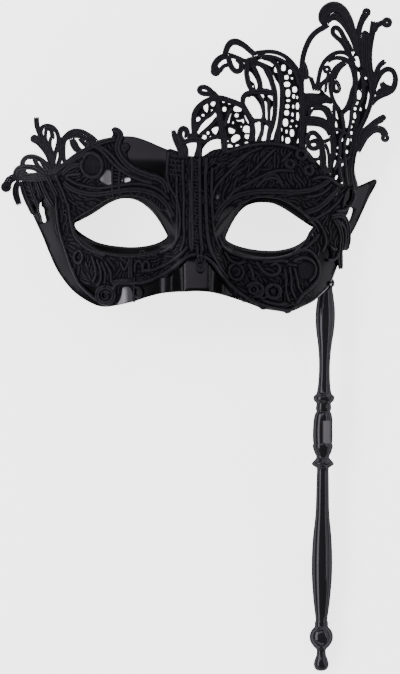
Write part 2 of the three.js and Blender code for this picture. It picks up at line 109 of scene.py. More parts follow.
def face_height(at):
    """The shell's middle surface, in millimetres, over places on the sheet."""
    u = (at[:, 0] - NOSE_LINE) * SQUARE
    v = (EYE_LINE - at[:, 1]) * SQUARE
    flare = FLARE["per_rise"] * v + FLARE["plume"] * ramp_up(v - FLARE["start"], FLARE["softness"])
    across = (u - WRAP["centre"]) / (WRAP["half_width"] + flare)
    side = np.abs(u - WRAP["centre"])
    wrap = WRAP["depth"] * (1 - np.sqrt(np.maximum(WRAP["flattest"], 1 - across ** 2)))
    down = smoothstep(-v, -NOSE["start"], -NOSE["end"])
    nose = (NOSE["bridge"] + NOSE["rise"] * down) * bell(side, NOSE["width"] + NOSE["spread"] * down)
    nose = nose * (1 - smoothstep(v, NOSE["start"], NOSE["gone"]))
    foot = NOSE_BASE
    ridge = ((foot["ridge"] + foot["slope"] * np.clip(foot["full"] - v, 0, foot["run"]))
             * (1 - smoothstep(side, foot["flat"], foot["foot"]))
             + foot["skirt"] * (1 - smoothstep(side, foot["skirt_from"], foot["skirt_to"])))
    nose = nose + (ridge - nose) * smoothstep(-v, -foot["start"], -foot["full"])
    brow = BROW["rise"] * bell(v - BROW["at"], BROW["height"])
    lean = PLUME["lean"] * ramp_up(v - PLUME["start"], PLUME["softness"])
    return FACE_TOP - wrap + nose + swell(side, v, **SOCKET) + brow + swell(side, v, **CHEEK) - lean


def steepness(at):
    """How many millimetres upward one millimetre straight out of the face is."""
    right, down = np.array([1.0, 0.0]), np.array([0.0, 1.0])
    along_x = (face_height(at + right) - face_height(at - right)) / (2 * SQUARE)
    along_y = (face_height(at + down) - face_height(at - down)) / (2 * SQUARE)
    return np.minimum(STEEPEST, np.sqrt(1 + along_x ** 2 + along_y ** 2))


def lace_height(at, lift):
    """Height over the table of a place on the lace, lift millimetres above the shell's outside."""
    height = face_height(at) + (SHELL_THICKNESS / 2 + LACE_GAP + lift) * steepness(at)
    return TABLE_CLEARANCE + ramp_up(height - TABLE_CLEARANCE, TABLE_FLARE)


def to_metres(at, height):
    """Places on the sheet and their heights as places in the scene."""
    return np.column_stack([(at[:, 0] - SHEET_MIDDLE[0]) * SQUARE * MM,
                            (SHEET_MIDDLE[1] - at[:, 1]) * SQUARE * MM, height * MM])


def mixed(t, start, end, a, b):
    return (end - t) / (end - start) * a + (t - start) / (end - start) * b


def smooth_line(points, closed=False, step=1.2):
    """Evenly spaced places along a smooth line through the given ones."""
    p = np.array(points, float)
    if closed:
        p = np.vstack([p[-1], p, p[0], p[1]])
    else:
        p = np.vstack([2 * p[0] - p[1], p, 2 * p[-1] - p[-2]])
    gaps = np.sqrt(np.maximum(np.hypot(*np.diff(p, axis=0).T), LEAST_GAP))
    pieces = []
    for i in range(1, len(p) - 2):
        t0, t1, t2, t3 = np.cumsum([0, gaps[i - 1], gaps[i], gaps[i + 1]])
        t = np.linspace(t1, t2, PLACES_BETWEEN + 1)[:-1, None]
        before = mixed(t, t0, t1, p[i - 1], p[i])
        here = mixed(t, t1, t2, p[i], p[i + 1])
        after = mixed(t, t2, t3, p[i + 1], p[i + 2])
        pieces.append(mixed(t, t1, t2, mixed(t, t0, t2, before, here), mixed(t, t1, t3, here, after)))
    return evenly(np.vstack(pieces + [p[-2][None]]), closed, step)


def evenly(line, closed, step):
    """The same line with its places the same distance apart, at most a step."""
    travelled = np.concatenate([[0], np.cumsum(np.hypot(*np.diff(line, axis=0).T))])
    count = max(2, math.ceil(travelled[-1] / step))
    at = np.linspace(0, travelled[-1], count + 1)
    places = np.column_stack([np.interp(at, travelled, line[:, k]) for k in (0, 1)])
    return places[:-1] if closed else places


def beside(line, offset, closed=False):
    """The line moved sideways, to its right as it is seen on the sheet."""
    ahead = np.roll(line, -1, 0) - np.roll(line, 1, 0) if closed else np.gradient(line, axis=0)
    side = np.column_stack([-ahead[:, 1], ahead[:, 0]])
    return line + offset * side / np.maximum(np.hypot(*side.T), TINY)[:, None]


def area_of(loop):
    x, y = loop[:, 0], loop[:, 1]
    return 0.5 * np.sum(x * np.roll(y, -1) - np.roll(x, -1) * y)


def grown(loop, amount):
    """A closed loop made larger all round by an amount in squares."""
    return beside(loop, -amount if area_of(loop) > 0 else amount, closed=True)


def inside(places, loop):
    """Which places lie inside a closed loop: those with an odd number of its edges to their right."""
    x, y = places[:, 0][:, None], places[:, 1][:, None]
    ax, ay = loop[:, 0], loop[:, 1]
    bx, by = np.roll(ax, -1), np.roll(ay, -1)
    result = np.zeros(len(places), bool)
    for start in range(0, len(places), AT_ONCE):
        part = slice(start, start + AT_ONCE)
        crosses = (ay > y[part]) != (by > y[part])
        reach = (bx - ax) * (y[part] - ay) / np.where(by == ay, TINY, by - ay) + ax
        result[part] = (crosses & (x[part] < reach)).sum(1) % 2 == 1
    return result


def distance_to(places, line):
    """How far every place is from the nearest place of a line, in squares."""
    nearest = np.empty(len(places))
    for start in range(0, len(places), AT_ONCE):
        part = slice(start, start + AT_ONCE)
        gap = places[part][:, None, :] - line[None, :, :]
        nearest[part] = np.sqrt((gap ** 2).sum(2).min(1))
    return nearest


def new_object(name, vertices, faces, material):
    """A smooth piece in the scene."""
    mesh = bpy.data.meshes.new(name)
    mesh.from_pydata([tuple(map(float, p)) for p in vertices], [], [tuple(map(int, f)) for f in faces])
    mesh.polygons.foreach_set("use_smooth", [True] * len(mesh.polygons))
    mesh.materials.append(material)
    mesh.update()
    piece = bpy.data.objects.new(name, mesh)
    bpy.context.scene.collection.objects.link(piece)
    return piece


def triangulated(loops, guides, keep, spacing):
    """Places and triangles over what keep accepts, with the loops and guides as edges in them."""
    low_corner = np.min([loop.min(0) for loop in loops], axis=0)
    high_corner = np.max([loop.max(0) for loop in loops], axis=0)
    grid = np.stack(np.meshgrid(np.arange(low_corner[0], high_corner[0], spacing),
                                np.arange(low_corner[1], high_corner[1], spacing)), -1)
    grid[1::2, :, 0] += spacing / 2
    grid = grid.reshape(-1, 2)
    lines = np.vstack(loops + guides)
    grid = grid[keep(grid) & (distance_to(grid, lines) > spacing * GRID_MARGIN)]
    places = []
    edges = []
    for loop in loops + guides:
        first = len(places)
        places.extend(loop.tolist())
        edges.extend((first + i, first + (i + 1) % len(loop)) for i in range(len(loop)))
    places.extend(grid.tolist())
    flat, _, faces, _, _, _ = delaunay_2d_cdt(places, edges, [], 0, SAME_PLACE)
    flat = np.array([tuple(p) for p in flat])
    faces = np.array([face for face in faces if len(face) == 3])
    a, b, c = (flat[faces[:, k]] for k in range(3))
    turn = (b[:, 0] - a[:, 0]) * (c[:, 1] - a[:, 1]) - (b[:, 1] - a[:, 1]) * (c[:, 0] - a[:, 0])
    faces[turn > 0] = faces[turn > 0][:, ::-1]
    faces = faces[keep((a + b + c) / 3) & (np.abs(turn) > NO_AREA)]
    used = np.unique(faces)
    renumber = np.full(len(flat), -1)
    renumber[used] = np.arange(len(used))
    return flat[used], renumber[faces]


def free_edges(flat, faces):
    """The edges that only one triangle has, and which way outward is at each place."""
    sides = np.vstack([faces[:, [0, 1]], faces[:, [1, 2]], faces[:, [2, 0]]])
    known = set(map(tuple, sides.tolist()))
    rim_edges = [(p, q) for p, q in known if (q, p) not in known]
    outward = np.zeros((len(flat), 2))
    for p, q in rim_edges:
        ahead = flat[q] - flat[p]
        away = np.array([-ahead[1], ahead[0]]) / max(np.hypot(*ahead), TINY)
        outward[p] += away
        outward[q] += away
    return rim_edges, outward / np.maximum(np.hypot(*outward.T), TINY)[:, None]


def curved_plate(name, loops, guides, keep, spacing, low, high, rim, rim_steps, material):
    """A closed sheet over the places that keep accepts, with a rounded rim along its edges."""
    flat, faces = triangulated(loops, guides, keep, spacing)
    rim_edges, outward = free_edges(flat, faces)
    top, bottom = high(flat), low(flat)
    count = len(flat)
    layers = [to_metres(flat, top), to_metres(flat, bottom)]
    rim_places = sorted({p for edge in rim_edges for p in edge})
    position = {p: i for i, p in enumerate(rim_places)}
    edge_flat = flat[rim_places]
    middle, half = (top + bottom)[rim_places] / 2, (top - bottom)[rim_places] / 2
    for k in range(1, rim_steps):
        angle = math.pi * k / rim_steps
        layers.append(to_metres(edge_flat + outward[rim_places] * rim * math.sin(angle),
                                middle + half * math.cos(angle)))

    def corner(p, k):
        if k == 0:
            return p
        if k == rim_steps:
            return count + p
        return 2 * count + (k - 1) * len(rim_places) + position[p]

    quads = [(corner(p, k + 1), corner(q, k + 1), corner(q, k), corner(p, k))
             for p, q in rim_edges for k in range(rim_steps)]
    underside = [(c + count, b + count, a + count) for a, b, c in faces]
    solid = [tuple(face) for face in faces] + underside + quads
    return new_object(name, np.vstack(layers), solid, material)


# Materials

# Grain of the finishes: sizes are counts to the metre, depths are metres, and tints are shares of a
# tone in red, green and blue.
GLOSS = dict(patches=60, duller=1.25, glossier=0.85, tone=35, peel=900, peel_strength=0.06,
             peel_depth=0.00008)
GLOSS_DARK, GLOSS_LIGHT = (0.86, 0.82, 0.92), (1.12, 1.08, 1.2)
# The tint of the painted highlights on the gloss parts.
PAINTED_HIGHLIGHT_TINT = (1, 0.96, 1.03)
THREAD = dict(roughness=0.62, tone=700, stitches=1100, wander=6, detail=2, detail_scale=3,
              stitch_depth=0.00012, fuzz=4200, fuzz_share=0.7, fuzz_depth=0.00008)
NOISE_LOW, NOISE_HIGH = 0.3, 0.7


def give(tree, socket, value):
    """Links a socket to the value when that is a socket too, or else sets it there."""
    if isinstance(value, bpy.types.NodeSocket):
        tree.links.new(value, socket)
    else:
        socket.default_value = value


def node(tree, kind, settings=None, **inputs):
    """A new node, its settings first and then its inputs, such as From_Min for From Min."""
    made = tree.nodes.new(kind)
    for name, value in (settings or {}).items():
        setattr(made, name, value)
    for name, value in inputs.items():
        give(tree, made.inputs[name.replace("_", " ")], value)
    return made


def math_node(tree, operation, *values):
    made = node(tree, "ShaderNodeMath", dict(operation=operation))
    for socket, value in zip(made.inputs, values):
        give(tree, socket, value)
    return made.outputs[0]


def shader(name, color, roughness):
    """A new material, its nodes and the inputs of its surface."""
    material = bpy.data.materials.new(name)
    material.use_nodes = True
    tree = material.node_tree
    principled = tree.nodes["Principled BSDF"]
    principled.inputs["Base Color"].default_value = (*color, 1)
    principled.inputs["Roughness"].default_value = roughness
    return material, tree, principled.inputs


def own_place(tree):
    return node(tree, "ShaderNodeTexCoord").outputs["Object"]


def varied(tree, here, scale, low, high, detail=4):
    """A noise in the piece's own coordinates, spread between two values."""
    cloud = node(tree, "ShaderNodeTexNoise", Vector=here, Scale=scale, Detail=detail)
    return node(tree, "ShaderNodeMapRange", Value=cloud.outputs["Fac"], From_Min=NOISE_LOW,
                From_Max=NOISE_HIGH, To_Min=low, To_Max=high).outputs["Result"]


def bump(tree, surface, height, strength, distance):
    """Relief over the relief that the surface has so far."""
    made = node(tree, "ShaderNodeBump", Strength=strength, Distance=distance, Height=height)
    if surface["Normal"].is_linked:
        give(tree, made.inputs["Normal"], surface["Normal"].links[0].from_socket)
    give(tree, surface["Normal"], made.outputs["Normal"])


def tinted(tree, surface, amount, dark, light):
    """Colours a surface from dark to light by the amount that a socket gives."""
    ramp = node(tree, "ShaderNodeValToRGB", Fac=amount)
    for element, color in zip(ramp.color_ramp.elements, (dark, light)):
        element.color = (*color, 1)
    give(tree, surface["Base Color"], ramp.outputs["Color"])


def moulded_black(name, reflected, even, steep, roughness):
    """Moulded plastic: an even gloss that stays dark on steep sides, with a slight orange peel."""
    material, tree, surface = shader(name, (reflected,) * 3, roughness)
    surface["Metallic"].default_value = even
    surface["Specular Tint"].default_value = (steep, steep, steep, 1)
    surface["Specular IOR Level"].default_value = 0
    here = own_place(tree)
    give(tree, surface["Roughness"],
         varied(tree, here, GLOSS["patches"], roughness * GLOSS["glossier"], roughness * GLOSS["duller"]))
    tinted(tree, surface, varied(tree, here, GLOSS["tone"], 0, 1),
           [reflected * share for share in GLOSS_DARK], [reflected * share for share in GLOSS_LIGHT])
    bump(tree, surface, varied(tree, here, GLOSS["peel"], 0, 1, detail=2), GLOSS["peel_strength"],
         GLOSS["peel_depth"])
    return material


def paint_highlight(material, share, tone):
    """Paints a highlight on a gloss part: duller and lighter, by the share that a socket gives."""
    tree = material.node_tree
    surface = tree.nodes["Principled BSDF"].inputs
    color = tuple(tone * tint for tint in PAINTED_HIGHLIGHT_TINT) + (1,)
    blend = node(tree, "ShaderNodeMix", dict(data_type="RGBA"), Factor=share,
                 A=surface["Base Color"].links[0].from_socket, B=color)
    give(tree, surface["Base Color"], blend.outputs["Result"])
    even = surface["Metallic"]
    even_under = even.links[0].from_socket if even.is_linked else even.default_value
    give(tree, even, math_node(tree, "MULTIPLY", math_node(tree, "SUBTRACT", 1, share), even_under))


def painted_glint(material, x, y, across, along, tone, soft=1):
    """A painted highlight on a gloss part, dull and light: where its middle is, half its sizes, its tone
    and soft border.
    """
    tree = material.node_tree
    axes = node(tree, "ShaderNodeSeparateXYZ", Vector=own_place(tree)).outputs
    middle = to_metres(np.array([[x, y]]), np.zeros(1))[0].tolist()
    shares = []
    for axis, centre, reach in zip("XY", middle, (across, along)):
        away = math_node(tree, "ABSOLUTE", math_node(tree, "SUBTRACT", axes[axis], centre))
        fade = node(tree, "ShaderNodeMapRange", dict(interpolation_type="SMOOTHSTEP"), Value=away,
                    From_Min=(reach - soft) * SQUARE * MM, From_Max=(reach + soft) * SQUARE * MM,
                    To_Min=1, To_Max=0)
        shares.append(fade.outputs["Result"])
    paint_highlight(material, math_node(tree, "MULTIPLY", *shares), tone)


def painted_edge_highlight(material, piece, line, strengths, reach, tone):
    """A painted highlight along an edge: the gloss turns dull and lighter as far as reach squares from a
    line on the sheet.
    """
    places = np.array([vertex.co[:2] for vertex in piece.data.vertices])
    places = np.array(SHEET_MIDDLE) + places * (1, -1) / (SQUARE * MM)
    edge_highlight = 1 - smoothstep(distance_to(places, line), reach / 2, reach)
    edge_highlight = edge_highlight * np.interp(places[:, 0], *np.array(strengths).T)
    piece.data.attributes.new("edge_highlight", "FLOAT", "POINT").data.foreach_set("value", edge_highlight.tolist())
    mark = node(material.node_tree, "ShaderNodeAttribute", dict(attribute_name="edge_highlight"))
    paint_highlight(material, mark.outputs["Fac"], tone)


def stitched_black(name, dark, light, sheen, strength):
    """Matt polyester thread: fine stitches across, a little fuzz, and a tone that varies at random from
    dark to light.
    """
    material, tree, surface = shader(name, dark, THREAD["roughness"])
    surface["Specular IOR Level"].default_value = sheen
    here = own_place(tree)
    tinted(tree, surface, varied(tree, here, THREAD["tone"], 0, 1), dark, light)
    weave = node(tree, "ShaderNodeTexWave", Vector=here, Scale=THREAD["stitches"],
                 Distortion=THREAD["wander"], Detail=THREAD["detail"],
                 Detail_Scale=THREAD["detail_scale"])
    bump(tree, surface, weave.outputs["Fac"], strength, THREAD["stitch_depth"])
    bump(tree, surface, varied(tree, here, THREAD["fuzz"], 0, 1, detail=3),
         strength * THREAD["fuzz_share"], THREAD["fuzz_depth"])
    return material


# Painted highlights and painted reflections: the middle, half the width, half the height, the tone and the
# soft border.
SHELL_GLINTS = [(126.5, 180.5, 4.4, 2.6, 0.6), (118, 187, 2.4, 6.6, 0.4), (107, 176, 5, 9, 0.09, 3),
                (121, 297, 3.4, 8, 0.16, 4.5), (337.4, 193, 1.8, 3.2, 0.5), (244, 261.5, 1.4, 1.4, 0.5),
                (218, 197, 1.8, 3.5, 0.2), (311.5, 234.5, 3, 6, 0.3), (272, 180, 1.4, 1.4, 0.35),
                (255, 280, 1.6, 1.2, 0.35), (343.4, 222, 1.2, 1.4, 0.4)]
HANDLE_GLINTS = [(326.5, 432.1, 3.4, 11.2, 0.1), (330.8, 284.4, 0.9, 1.1, 0.6, 0.5)]
shell_black = moulded_black("satin_black_shell", reflected=0.0128, even=0.85, steep=0.5, roughness=0.2)
handle_black = moulded_black("gloss_black_handle", reflected=0.026, even=0.65, steep=0.38,
                             roughness=0.09)
for gloss, glints in ((shell_black, SHELL_GLINTS), (handle_black, HANDLE_GLINTS)):
    for glint in glints:
        painted_glint(gloss, *glint)
thread_black = stitched_black("matt_black_cord", dark=(0.0029, 0.0027, 0.0041),
                              light=(0.0098, 0.0092, 0.0138), sheen=0.14, strength=0.5)
# The net is the cords' own black thread, painted darker still as the shade in the gaps between the cords.
shaded_net_black = stitched_black("matt_black_net_painted_shade", dark=(0.0018, 0.0017, 0.0025),
                           light=(0.0052, 0.0049, 0.007), sheen=0.05, strength=0.8)


# Shell

SHELL_EDGES = (
    [(18, 182), (19.9, 187.2), (27.4, 204.3), (34.5, 219.6), (41.6, 234.9), (48.4, 251.6), (56, 268.4),
     (63.2, 279.6), (73, 291), (84.2, 299.3), (96.8, 305.6), (105.3, 307), (116.5, 305.6),
     (126.3, 303.5), (134.7, 301.4), (147.4, 297.2), (161.4, 293.7), (175.4, 292.3), (186.7, 292),
     (194, 291.5), (208, 292.2), (222, 295), (236, 299.3), (250.2, 304.2), (261.4, 308.4),
     (272.6, 310.5), (286.6, 312), (292.2, 311.2), (302, 307), (313.3, 301.4), (321.7, 294.3),
     (328.7, 287.3), (332.9, 279), (337, 267.7), (342.8, 252.2), (348.4, 240.3), (355.7, 227),
     (362.9, 211.8), (370, 196.2), (376.7, 184), (377.5, 180.4), (375.2, 178.4)],
    [(375.2, 178.4), (369.4, 180.8), (357.5, 185.9), (350, 187), (340, 183), (330, 174.7),
     (320, 165.6), (312, 155.7), (303.5, 147), (290, 144.5), (277, 141.5), (264, 141), (246, 143.5),
     (226, 150), (213, 150.5), (205, 156), (196, 156.5), (187, 156), (175, 152), (169.5, 150.5),
     (159.5, 146.5), (147, 141), (134, 137), (122, 136.5), (108, 138), (97, 141), (88, 146.5),
     (77.4, 154.2), (67.4, 162.3), (57.2, 169.6), (50, 173), (40, 178), (28, 179.5), (18, 182)])
LEFT_EYE = [(75, 223.5), (80, 220.7), (90, 215.6), (98.6, 210.2), (107, 204.7), (112.6, 201.9),
            (119.3, 199.4), (126.3, 198.7), (133.3, 199.6), (140.4, 202.5), (148.8, 208.8),
            (155.8, 216.5), (161.4, 225), (165.6, 232.6), (167, 236.5), (160, 241.8), (151.6, 244.8),
            (140.4, 246.7), (129, 247.1), (118, 246.2), (106.7, 244.6), (96.8, 241.8), (87, 236.8),
            (80, 232), (75.8, 227.7)]
RIGHT_EYE = [(226, 239), (229, 229.8), (233.3, 221.4), (239, 213), (246, 206.6), (254.4, 203.4),
             (264.2, 202.7), (272.6, 203.8), (279.6, 206.6), (289.4, 212.3), (299.3, 219),
             (308.4, 225), (315.5, 229.5), (311, 234.5), (303.5, 240.5), (296.5, 245.2),
             (286.6, 248.7), (275.4, 250.6), (264.2, 250.6), (253, 249.4), (241.7, 247),
             (232, 243.5)]
RIBBON_SLOTS = ([(39.4, 201.4), (41, 202), (41.6, 206), (43.6, 208), (44.6, 214), (46, 220.6),
                 (44.6, 222.6), (42.4, 221.4), (41.2, 216), (39.4, 211.6), (39, 206)],
                [(350.4, 207.2), (352.6, 208.4), (352.6, 211), (348.6, 221.4), (346.4, 221),
                 (345.6, 217.6), (348, 213)])
# Rings of places round each eye: how far out each is, and how close its places.
EYE_RINGS = ((2.6, 1.3), (4.2, 1.6), (6.4, 2), (9.5, 2.6), (13.5, 3))
# How far inside the shell's edge the rings end, and a slot's rim as a share of the shell's.
RINGS_END = 3
SLOT_SHARE = 0.8
SHELL_MESH = dict(edge_step=1.6, eye_step=1.2, slot_step=1, spacing=3.0, rim_steps=6)
# A painted highlight along the rim where it passes over the handle: places along it, and how much at which
# place across the sheet.
RIM_HIGHLIGHT_LINE = [(296, 309.8), (302, 307), (313.3, 301.4), (321.7, 294.3), (328.7, 287.3), (332.9, 279),
              (335.5, 272)]
RIM_HIGHLIGHT_STRENGTHS = [(296, 0), (304, 0.4), (317, 0.6), (322, 1), (333, 1), (335.5, 0)]
RIM_HIGHLIGHT_REACH = 1.3
RIM_HIGHLIGHT_TONE = 0.22


def shell_outline():
    return np.vstack([smooth_line(edge, step=SHELL_MESH["edge_step"])[:-1] for edge in SHELL_EDGES])


def make_shell():
    lip = SHELL_THICKNESS / 2 / SQUARE
    edge = shell_outline()
    eyes = [smooth_line(eye, True, SHELL_MESH["eye_step"]) for eye in (LEFT_EYE, RIGHT_EYE)]
    slots = [smooth_line(slot, True, SHELL_MESH["slot_step"]) for slot in RIBBON_SLOTS]
    rim = grown(edge, -lip)
    eye_rims = [grown(eye, lip) for eye in eyes]
    slot_rims = [grown(slot, lip * SLOT_SHARE) for slot in slots]
    guides = []
    for eye in eyes:
        for amount, step in EYE_RINGS:
            ring = grown(eye, amount)
            ring = evenly(np.vstack([ring, ring[:1]]), True, step)
            guides.append(ring[inside(ring, grown(edge, -RINGS_END))])

    def keep(places):
        kept = inside(places, rim)
        for hole in eye_rims + slot_rims:
            kept &= ~inside(places, hole)
        return kept

    def lipped(places, offset):
        height = face_height(places) + offset * steepness(places)
        for eye in eyes:
            height = height - EYE_LIP["dip"] * bell(distance_to(places, eye) * SQUARE, EYE_LIP["width"])
        return height

    def above_table(height, thickness):
        return np.maximum(height, thickness)

    return curved_plate(
        "shell", [rim] + eye_rims + slot_rims, guides, keep, SHELL_MESH["spacing"],
        lambda at: above_table(lipped(at, -SHELL_THICKNESS / 2), 0),
        lambda at: above_table(lipped(at, SHELL_THICKNESS / 2), SHELL_THICKNESS),
        lip, SHELL_MESH["rim_steps"], shell_black)


shell = make_shell()
# The rim over the handle gets a painted highlight line.
painted_edge_highlight(shell_black, shell, smooth_line(RIM_HIGHLIGHT_LINE), RIM_HIGHLIGHT_STRENGTHS, RIM_HIGHLIGHT_REACH, RIM_HIGHLIGHT_TONE)
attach(shell, "root")
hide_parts("mask_shell")


# Handle

# The height of the handle's middle line at two places down the sheet.
HANDLE_TOP = dict(down=284, height=13.4)
HANDLE_BALL = dict(down=636, height=5.35)
# The handle's middle line: how far down the sheet, and how far across it the line is there.
HANDLE_AXIS = [(276, 326.6), (300, 325.7), (344, 325), (400, 324), (430, 322.8), (462, 323),
               (560, 322.2), (600, 321.9), (636, 321.5), (672, 321.4)]
# The turning: how far down the sheet, and the radius there in squares.
TURNING = [(276, 0), (276.6, 3.2), (278, 5.4), (280.5, 7.3), (283, 8.1), (285.5, 7.2), (287.5, 5.9),
           (290, 6.1), (292, 6.6), (296, 7.4), (300, 8), (304, 8.5), (308, 9.05), (314, 9.3),
           (320, 9.3), (324, 9.1), (328, 8.75), (332, 8.35), (336, 7.8), (340, 7.1), (344, 6.65),
           (348, 6.1), (352, 5.7), (356, 5.45), (360, 5.15), (366, 5), (372, 5), (380, 5.3),
           (388, 5.95), (392, 6.7), (394, 7.3), (395, 8.6), (396.4, 9.8), (397.7, 10.2), (399, 9.9),
           (401, 9.3), (402.6, 7.3), (404, 6.7), (406, 7.1), (408.5, 7.3), (410.5, 6.9),
           (411.4, 6.3), (412.4, 7.1), (414, 7.8), (417, 8.6), (421, 9.1), (428, 9.3), (436, 9.5),
           (441, 9.3), (443.6, 8.9), (445, 9.5), (446.6, 9.7), (448, 9.3), (450, 8.8), (453, 7.8),
           (456, 6.2), (458, 6.1), (460, 7.8), (462, 9.6), (463.5, 10.7), (465, 10.3), (466.6, 8),
           (468, 5.6), (471, 5.4), (476, 5.6), (484, 5.75), (492, 5.9), (500, 6.05), (508, 6.2),
           (516, 6.6), (522, 7.2), (528, 7.9), (536, 8.7), (544, 9.25), (552, 9.65), (562, 9.85),
           (572, 9.85), (580, 9.55), (588, 8.95), (596, 8.3), (604, 7.5), (612, 6.4), (617, 5.7),
           (620.4, 5.3), (622, 5.9), (624, 6.3), (626.4, 6.1), (627.6, 6.6), (629, 8.1),
           (631, 9.6), (634, 10.9), (637.5, 11.3), (641, 10.9), (644, 9.4), (646, 8), (647.4, 6.9),
           (648.6, 5.4), (650, 4.3), (652.4, 3.9), (656, 4.4), (659, 5.6), (662, 6.6), (665, 7.05),
           (668, 6.4), (670, 5), (671.2, 3), (671.7, 0)]
HANDLE_SIDES = 72
HANDLE_EXTRA = 0.55
# The pin head beside the rim: its middle, its height in millimetres and its radius in squares.
PIN_HEAD = (331.9, 284.2, 13.7, 2.7)
PIN_MESH = dict(rows=10, sides=20)
# Where the handle goes under the shell: heights in millimetres, places downward in squares.
SEAT = dict(gap=0.3, drop=2, drop_from=380, drop_to=290, clear=0.5, rise=8, end=312, ring_step=0.6)
TAPER_RINGS = dict(end=615, step=4.0)


def ball(x, y, height, radius, first):
    """A ball on the sheet, its height in millimetres: places, heights and faces numbered from first."""
    rows, sides = PIN_MESH["rows"], PIN_MESH["sides"]
    tilt = np.repeat(np.arange(1, rows) * math.pi / rows, sides)
    turn = np.tile(np.arange(sides) * 2 * math.pi / sides, rows - 1)
    across, along, up = np.sin(tilt) * np.cos(turn), np.sin(tilt) * np.sin(turn), np.cos(tilt)
    places = np.column_stack([np.append(across, [0, 0]), np.append(along, [0, 0])]) * radius + (x, y)
    heights = height + np.append(up, [1, -1]) * radius * SQUARE
    top, bottom = first + len(tilt), first + len(tilt) + 1
    last_row = first + (rows - 2) * sides
    faces = []
    for i in range(sides):
        j = (i + 1) % sides
        faces.append((top, first + j, first + i))
        faces.append((bottom, last_row + i, last_row + j))
        for row in range(first, last_row, sides):
            faces.append((row + i, row + j, row + sides + j, row + sides + i))
    return places, heights, faces


def make_handle():
    table = np.array(TURNING)
    near_seat = np.arange(table[1, 0], SEAT["end"], SEAT["ring_step"])
    further = np.arange(SEAT["end"], TAPER_RINGS["end"], TAPER_RINGS["step"])
    span = np.unique(np.concatenate([table[:, 0], near_seat, further]).round(1))
    sheet_x = np.interp(span, *np.array(HANDLE_AXIS).T)
    radius = np.interp(span, table[:, 0], table[:, 1] + HANDLE_EXTRA)
    t = (span - HANDLE_TOP["down"]) / (HANDLE_BALL["down"] - HANDLE_TOP["down"])
    height = HANDLE_TOP["height"] + t * (HANDLE_BALL["height"] - HANDLE_TOP["height"])
    height = height - SEAT["drop"] * (1 - smoothstep(span, SEAT["drop_to"], SEAT["drop_from"]))
    turn = np.arange(HANDLE_SIDES) * 2 * math.pi / HANDLE_SIDES
    rings = []
    for x, y, z, r in zip(sheet_x[1:-1], span[1:-1], height[1:-1], radius[1:-1]):
        at = np.column_stack([x + r * np.cos(turn), np.full(HANDLE_SIDES, y)])
        rings.append((at, z + r * SQUARE * np.sin(turn)))
    places = np.vstack([at for at, _ in rings] + [[(sheet_x[0], span[0]), (sheet_x[-1], span[-1])]])
    heights = np.concatenate([z for _, z in rings] + [[height[0], height[-1]]])
    under = face_height(places) - (SHELL_THICKNESS / 2 + SEAT["gap"]) * steepness(places)
    rim = grown(shell_outline(), SEAT["clear"])
    outside = np.where(inside(places, rim), 0, distance_to(places, rim)) * SQUARE
    near = places[:, 1] < SEAT["end"]
    heights = np.where(near, np.minimum(heights, under + SEAT["rise"] * outside), heights)
    heights = np.maximum(heights, 0)
    faces = []
    for ring in range(0, (len(rings) - 1) * HANDLE_SIDES, HANDLE_SIDES):
        for i in range(HANDLE_SIDES):
            j = (i + 1) % HANDLE_SIDES
            faces.append((ring + j, ring + i, ring + HANDLE_SIDES + i, ring + HANDLE_SIDES + j))
    first, last = len(places) - 2, len(places) - 1
    tail = (len(rings) - 1) * HANDLE_SIDES
    for i in range(HANDLE_SIDES):
        j = (i + 1) % HANDLE_SIDES
        faces.append((first, i, j))
        faces.append((last, tail + j, tail + i))
    pin_places, pin_heights, pin_faces = ball(*PIN_HEAD, len(places))
    places = np.vstack([places, pin_places])
    heights = np.concatenate([heights, pin_heights])
    return new_object("turned_handle", to_metres(places, heights), faces + pin_faces, handle_black)


handle = make_handle()
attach(handle, "root")
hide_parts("handle")


# Lace: places on the sheet

OVAL_PLACES = 12


def oval(x, y, across, up, turn=0, squareness=2.6):
    """A small rounded opening: its middle, width and height, and its turn in degrees."""
    angle = np.arange(OVAL_PLACES) * 2 * math.pi / OVAL_PLACES
    c, s = math.cos(math.radians(turn)), math.sin(math.radians(turn))
    cosine, sine = np.cos(angle), np.sin(angle)
    dx = across / 2 * np.sign(cosine) * np.abs(cosine) ** (2 / squareness)
    dy = up / 2 * np.sign(sine) * np.abs(sine) ** (2 / squareness)
    return np.column_stack([x + c * dx - s * dy, y + s * dx + c * dy]).tolist()


